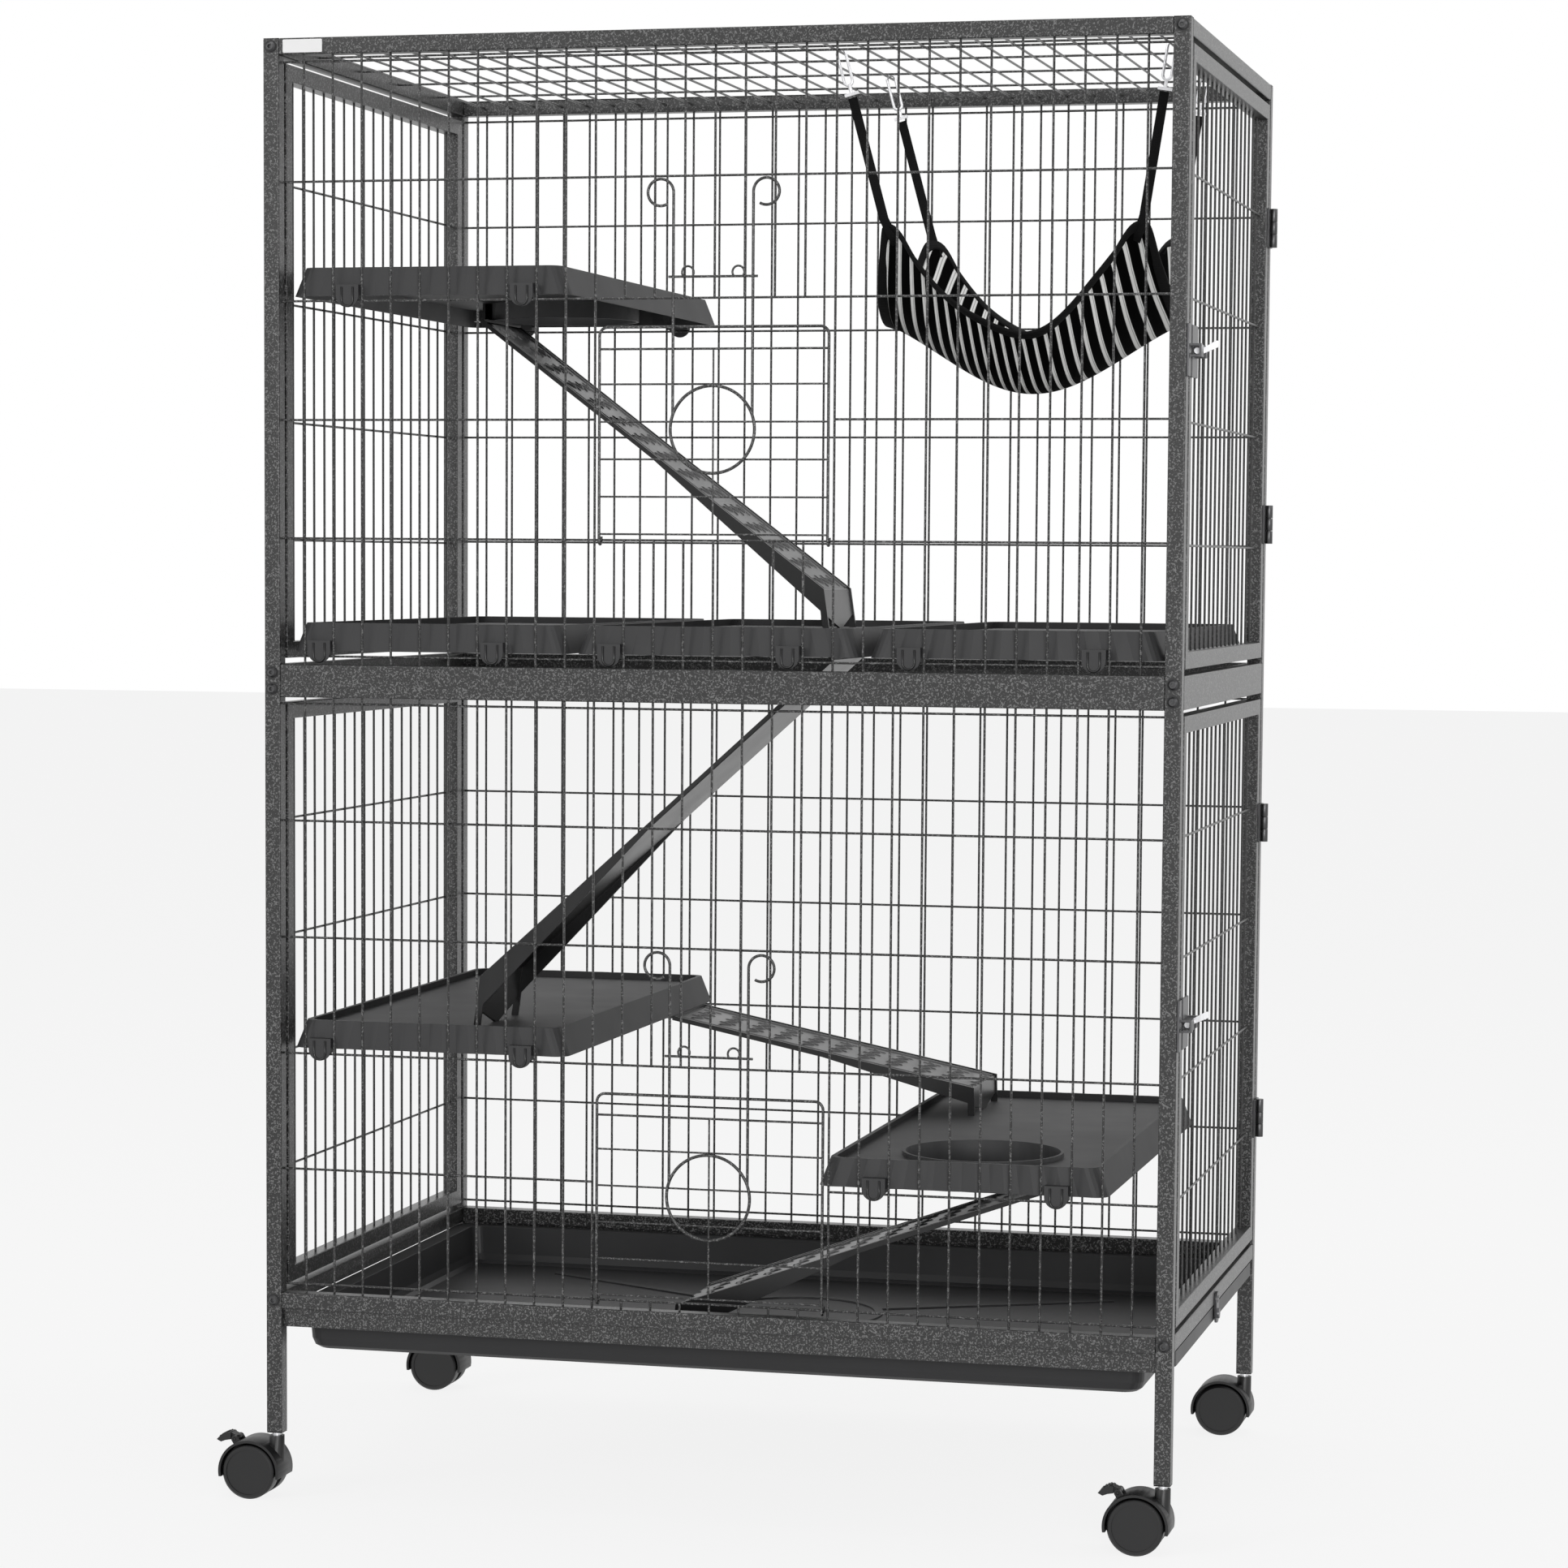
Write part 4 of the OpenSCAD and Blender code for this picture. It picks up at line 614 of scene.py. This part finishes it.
rim_u, rim_v = rounded_square(RIM_COUNT, CORNER_SHARE)
ring_share = (np.arange(RING_COUNT + 1) / RING_COUNT)[1:, None]
flat_u = np.concatenate([[0.5], (0.5 + (rim_u - 0.5) * ring_share).ravel()])
flat_v = np.concatenate([[0.5], (0.5 + (rim_v - 0.5) * ring_share).ravel()])
middle, normals = cloth_point(flat_u, flat_v), cloth_normal(flat_u, flat_v)
layers = [to_frame(middle + normals * CLOTH_THICK_MM / 2), to_frame(middle - normals * CLOTH_THICK_MM / 2)]
layer_count = len(middle)
fan = [[0, 1 + j, 1 + (j + 1) % RIM_COUNT] for j in range(RIM_COUNT)]
top_faces = fan + grid_faces(RING_COUNT, RIM_COUNT, wrap_cols=True, start=1)
low_faces = [[corner + layer_count for corner in face[::-1]] for face in top_faces]
edge = [1 + (RING_COUNT - 1) * RIM_COUNT + j for j in range(RIM_COUNT)]
edge_faces = [[a, b, b + layer_count, a + layer_count] for a, b in zip(edge, edge[1:] + edge[:1])]
cloth = make_piece("hammock_sheet", np.concatenate(layers), top_faces + low_faces + edge_faces, CLOTH_IN)
cloth.data.materials.append(CLOTH_OUT)
outer_count = len(low_faces) + len(edge_faces)
cloth.data.polygons.foreach_set("material_index", [0] * len(top_faces) + [1] * outer_count)

# %% [markdown]
# The print follows the cloth laid flat. Its two sides are as long as the middle lines of the hung cloth,
# and the map gives each corner of each face its place on it in millimetres.

# %% Flat pattern of the cloth
LINE_STEPS = 200
line = np.linspace(0, 1, LINE_STEPS)
half_way = np.full(LINE_STEPS, 0.5)
flat_w = np.linalg.norm(np.diff(cloth_point(line, half_way), axis=0), axis=1).sum()
flat_l = np.linalg.norm(np.diff(cloth_point(half_way, line), axis=0), axis=1).sum()
corner_points = np.empty(len(cloth.data.loops), dtype=np.int32)
cloth.data.loops.foreach_get("vertex_index", corner_points)
corner_points %= layer_count
uv = np.stack([flat_u[corner_points] * flat_w, flat_v[corner_points] * flat_l], axis=1)
cloth.data.uv_layers.new(name="flat").data.foreach_set("uv", uv.astype(np.float32).ravel())
areas = np.empty(len(cloth.data.polygons), dtype=np.float32)
cloth.data.polygons.foreach_get("area", areas)

# %% [markdown]
# ## Binding and straps
# A band sewn round the cloth hides its raw edge and carries the pull, and four straps hang it from the
# roof. Both could be curves with a bevel, but a band has to lie flat on the cloth. So the binding carries
# its section along the rim with one axis into the cloth and one across it, and each strap runs straight
# from its hook to a corner and then a little way under the cloth, as it is sewn there.

# %% Binding
BINDING_MM, BINDING_ROUND_MM, BINDING_IN_MM, PULL_IN = (11.0, 2.8), 1.2, 4.6, 0.96


def rounded_bar(width, height, radius):
    """Flat section: at each corner a quarter turn of four points round a centre one radius inside it."""
    turn = np.radians(np.array([0, 90, 180, 270])[:, None] + np.linspace(0, 90, 4))
    signs = np.array([(1, 1), (-1, 1), (-1, -1), (1, -1)])[:, None, :]
    centres = signs * np.array([width / 2 - radius, height / 2 - radius])
    return (centres + radius * np.stack([np.cos(turn), np.sin(turn)], axis=-1)).reshape(-1, 2)


edge_path = to_frame(cloth_point(rim_u, rim_v))
inward = to_frame(cloth_point(0.5 + (rim_u - 0.5) * PULL_IN, 0.5 + (rim_v - 0.5) * PULL_IN)) - edge_path
inward /= np.linalg.norm(inward, axis=1)[:, None]
across = cloth_normal(rim_u, rim_v)
band_middle = edge_path + inward * BINDING_IN_MM * MM
band = rounded_bar(BINDING_MM[0] * MM, BINDING_MM[1] * MM, BINDING_ROUND_MM * MM)
rings = band_middle[:, None] + band[None, :, :1] * inward[:, None] + band[None, :, 1:] * across[:, None]
band_faces = grid_faces(RIM_COUNT, len(band), wrap_rows=True, wrap_cols=True)
binding = make_piece("hammock_binding", rings.reshape(-1, 3), band_faces, TAPE)

# %% Straps
BODY_H_MM, TUBE_MM = 1247.0, 14.0
HOOK_WIRES, STRAP_TOP_MM = (3, 14), BODY_H_MM - 45.0
STRAP_MM, STRAP_ROUND_MM, HOOK_GAP_MM, TIP_GAP_MM = (1.6, 8.0), 0.6, 0.4, 2.0
SEWN_AT, SEWN_UNDER_MM, SEWN_SHARE = 0.05, 3.0, 0.6


def strap(wire_k, corner_u, corner_v):
    """Flat band along five points: below the hook, half way, at the corner, and two under the cloth."""
    tip = np.array([CLOTH_X_MM[corner_u], CLOTH_Y_MM[corner_v], CLOTH_Z_MM])
    hook = np.array([wire_k * WIRE_PITCH_MM, tip[1], BODY_H_MM - TUBE_MM / 2])
    way = (tip - hook) / np.linalg.norm(tip - hook)
    start = hook + way * (hook[2] - STRAP_TOP_MM) / abs(way[2])
    inside_u, inside_v = (np.array([abs(corner - SEWN_AT)]) for corner in (corner_u, corner_v))
    sewn = cloth_point(inside_u, inside_v)[0] - np.array([0, 0, SEWN_UNDER_MM])
    path = np.stack([start + way * HOOK_GAP_MM, start * 0.5 + tip * 0.5, tip - way * TIP_GAP_MM,
                     tip * (1 - SEWN_SHARE) + sewn * SEWN_SHARE, sewn])
    return sweep(to_frame(path), rounded_bar(STRAP_MM[0] * MM, STRAP_MM[1] * MM, STRAP_ROUND_MM * MM))


strap_parts = [strap(wire_k, corner_u, corner_v)
               for corner_u, wire_k in enumerate(HOOK_WIRES) for corner_v in (0, 1)]
straps = make_piece("hammock_webbing", *join(strap_parts), TAPE)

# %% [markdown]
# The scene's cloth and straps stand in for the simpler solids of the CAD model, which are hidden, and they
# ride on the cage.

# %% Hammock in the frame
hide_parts("hammock_cloth")
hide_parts("hammock_straps")
for soft_piece, soft_slot in ((cloth, "cloth"), (binding, "cloth"), (straps, "webbing")):
    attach(soft_piece, "cage")
print("the hammock's", cloth.name, binding.name, "and", straps.name, "ride on the cage")

# %% [markdown]
# ## Painted shade round the bolts
# A thin dark disc lies between each frame bolt and the tube, as painted shade of the gap round the bolt head.
# It shows only as a dark ring, so a flat disc is enough: a circle carried 0.35 mm outward.

# %% Painted shade round the bolts
HALF_W_MM, HALF_D_MM = 393.5, 254.0
BOLT_LEVELS_MM, SHADE_DISC_R_MM, SHADE_DISC_THICK_MM, SHADE_DISC_SIDES = (1240.0, 713.5, 699.5, 173.0), 5.4, 0.35, 28


def bolt_shade_disc(x_mm, y_mm, z_mm, outward_y):
    """Disc of painted shade: a circle carried along y from the face of the tube."""
    start = to_frame([x_mm, y_mm, z_mm])
    return sweep([start, start + np.array([0, outward_y * SHADE_DISC_THICK_MM * MM, 0])],
                 circle(SHADE_DISC_R_MM * MM, SHADE_DISC_SIDES))


bolt_shade_discs = [bolt_shade_disc(sx * (HALF_W_MM - TUBE_MM / 2), sy * HALF_D_MM, z, sy)
           for sx in (-1, 1) for sy in (-1, 1) for z in BOLT_LEVELS_MM]
# dark discs under the bolt heads: painted shade of the gap round each bolt
piece = make_piece("frame_bolt_shade_discs", *join(bolt_shade_discs), PLUG, smooth=False)
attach(piece, "cage")
print(len(bolt_shade_discs), "bolt_shade_discs")

# %% [markdown]
# ## Ribs of the brake paddles
# A foot presses the brakes of the front casters, so their paddles are ribbed. The ribs could be part of the
# lever's solid, but they carry nothing, so they are only added here: five thin rods lie across each paddle,
# at spots that follow its bent top, and they ride on the lever, so they turn with it.

# %% Ribs of the brake paddles
WHEEL_R_MM, TRAIL_MM, RIB_HALF_MM, RIB_R_MM = 23.5, 20.0, 6.4, 0.55
RIB_SPOTS_MM = ((-21.2, 31.15), (-23.4, 31.4), (-25.6, 30.7), (-27.8, 29.6), (-30.0, 28.0))
for corner_name, sx in (("fl", -1), ("fr", 1)):
    wheel_mm = np.array([sx * (HALF_W_MM - TUBE_MM / 2) - TRAIL_MM, TUBE_MM / 2 - HALF_D_MM, WHEEL_R_MM])
    ribs = [sweep(to_frame([wheel_mm + (x, y, z) for y in (-RIB_HALF_MM, RIB_HALF_MM)]),
                  circle(RIB_R_MM * MM, 8)) for x, z in RIB_SPOTS_MM]
    piece = make_piece("brake_ribs_" + corner_name, *join(ribs), NYLON)
    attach(piece, "brake_" + corner_name)

# %% [markdown]
# ## Floor and background
# The photograph has a white studio round the cage. More light would bleach the cage too, so the white comes
# from the materials: where a ray comes straight from the camera, or from a mirror or through glass, the
# floor is mostly a glow of strength 1, and the rest of it is a painted floor that still shows the cage's
# shadow faintly. The world does the same, and lights the cage only dimly.

# %% Rays that see white
WHITE = linear("ffffff")


def seen_white(tree):
    """1 for rays from the camera, from mirrors and through glass, 0 for the rays that light the cage."""
    camera_ray = add_node(tree, "LightPath", out="Is Camera Ray")
    kinds = camera_ray.node.outputs
    bounced = add_node(tree, "Math", {0: kinds["Is Glossy Ray"], 1: kinds["Is Transmission Ray"]},
                       operation="MAXIMUM")
    return add_node(tree, "Math", {0: camera_ray, 1: bounced}, operation="MAXIMUM")


print("white of the background, linear:", WHITE)

# %% Floor
FLOOR_GLOW, FLOOR_SIZE, FLOOR_MOTTLE_MM = 0.85, 40.0, 25.0
# painted studio floor: white, matt, faintly mottled
white_floor, floor_tree, floor_shader = new_finish("white studio floor", Roughness=0.9)
floor_place = add_node(floor_tree, "TexCoord", out="Object")
mottle = add_node(floor_tree, "TexNoise", {"Vector": floor_place, "Scale": cells(FLOOR_MOTTLE_MM),
                                           "Detail": 2.0})
floor_paint = add_node(floor_tree, "Mix", {0: mottle, 6: linear("e9e9e9"), 7: linear("ededed")}, out=2,
                       data_type="RGBA")
floor_tree.links.new(floor_paint, floor_shader.inputs["Base Color"])
glow = add_node(floor_tree, "Emission", {"Color": WHITE, "Strength": 1.0})
glow_share = add_node(floor_tree, "Math", {0: seen_white(floor_tree), 1: FLOOR_GLOW}, operation="MULTIPLY")
floor_look = add_node(floor_tree, "MixShader", {0: glow_share, 1: floor_shader.outputs[0], 2: glow})
floor_tree.links.new(floor_look, floor_tree.nodes["Material Output"].inputs["Surface"])
bpy.ops.mesh.primitive_plane_add(size=FLOOR_SIZE, location=(0, 0, 0))
floor = bpy.context.object
floor.name = "studio_floor"
floor.data.materials.append(white_floor)
print("floor of", FLOOR_SIZE, "m,", FLOOR_GLOW, "of it glow")

# %% Background
WORLD_STRENGTH = 0.30
world = bpy.data.worlds.new("studio")
bpy.context.scene.world = world
world.use_nodes = True
sky = world.node_tree
sky.nodes.clear()
white_sky = add_node(sky, "Background", {"Color": WHITE, "Strength": 1.0})
dim_sky = add_node(sky, "Background", {"Color": WHITE, "Strength": WORLD_STRENGTH})
sky_look = add_node(sky, "MixShader", {0: seen_white(sky), 1: dim_sky, 2: white_sky})
add_node(sky, "OutputWorld", {"Surface": sky_look})
print("world: strength 1 where it is seen,", WORLD_STRENGTH, "as light")

# %% [markdown]
# ## Lamps
# Product photographs are lit by large soft boxes, whose size keeps the shadows soft. A sun lamp would throw
# hard shadows of every wire, so area lamps are used. The key and the front left box light the front, and
# weak boxes at the right and above keep those sides readable.

# %% Soft boxes
AIM = (0, 0, 0.6)


def soft_box(name, place, size, power):
    """Square area lamp that faces the middle of the cage and isn't itself seen."""
    light = bpy.data.lights.new(name, "AREA")
    light.size = size
    light.energy = power
    lamp = bpy.data.objects.new(name, light)
    bpy.context.scene.collection.objects.link(lamp)
    lamp.location = place
    lamp.rotation_euler = (Vector(AIM) - Vector(place)).to_track_quat("-Z", "Y").to_euler()
    lamp.visible_camera = False
    print(name, "box of", size, "m with", power, "W")


soft_box("key", (3.0, -7.5, 1.8), 2.2, 250.0)
soft_box("front left", (-5.2, -6.2, 3.2), 2.6, 130.0)
soft_box("right", (3.4, 0.6, 2.6), 2.0, 16.0)
soft_box("top", (0.2, 0.4, 3.6), 2.4, 20.0)

# %% [markdown]
# ## Camera
# The corners of the frame in the photograph fix where the camera stood and how it was turned. Its long lens
# keeps the sides of the cage nearly parallel, and a small upward shift frames the cage without tilting it.

# %% Camera
YAW, PITCH, ROLL = 0.243946, -0.0776805, 0.00699921
CAMERA_AT = Vector((0.91699, -3.6004, 0.8114))
SENSOR_MM, LENS_MM, SHIFT_UP, SEES_TO = 36.0, 95.79, 0.0647, 60.0
forward = Vector((-math.sin(YAW) * math.cos(PITCH), math.cos(YAW) * math.cos(PITCH), math.sin(PITCH)))
level_right = Vector((math.cos(YAW), math.sin(YAW), 0))
level_up = level_right.cross(forward)
right = level_right * math.cos(ROLL) + level_up * math.sin(ROLL)
up = level_up * math.cos(ROLL) - level_right * math.sin(ROLL)
camera = bpy.data.objects.new("camera", bpy.data.cameras.new("camera"))
bpy.context.scene.collection.objects.link(camera)
turn = Matrix([[right[i], up[i], -forward[i]] for i in range(3)]).to_4x4()
camera.matrix_world = Matrix.Translation(CAMERA_AT) @ turn
camera.data.sensor_width = SENSOR_MM
camera.data.lens = LENS_MM
camera.data.shift_y = SHIFT_UP
camera.data.clip_end = SEES_TO
bpy.context.scene.camera = camera
bpy.context.scene.view_settings.view_transform = "Standard"
print("camera", round(CAMERA_AT.length, 2), "m from the origin with a lens of", LENS_MM, "mm")
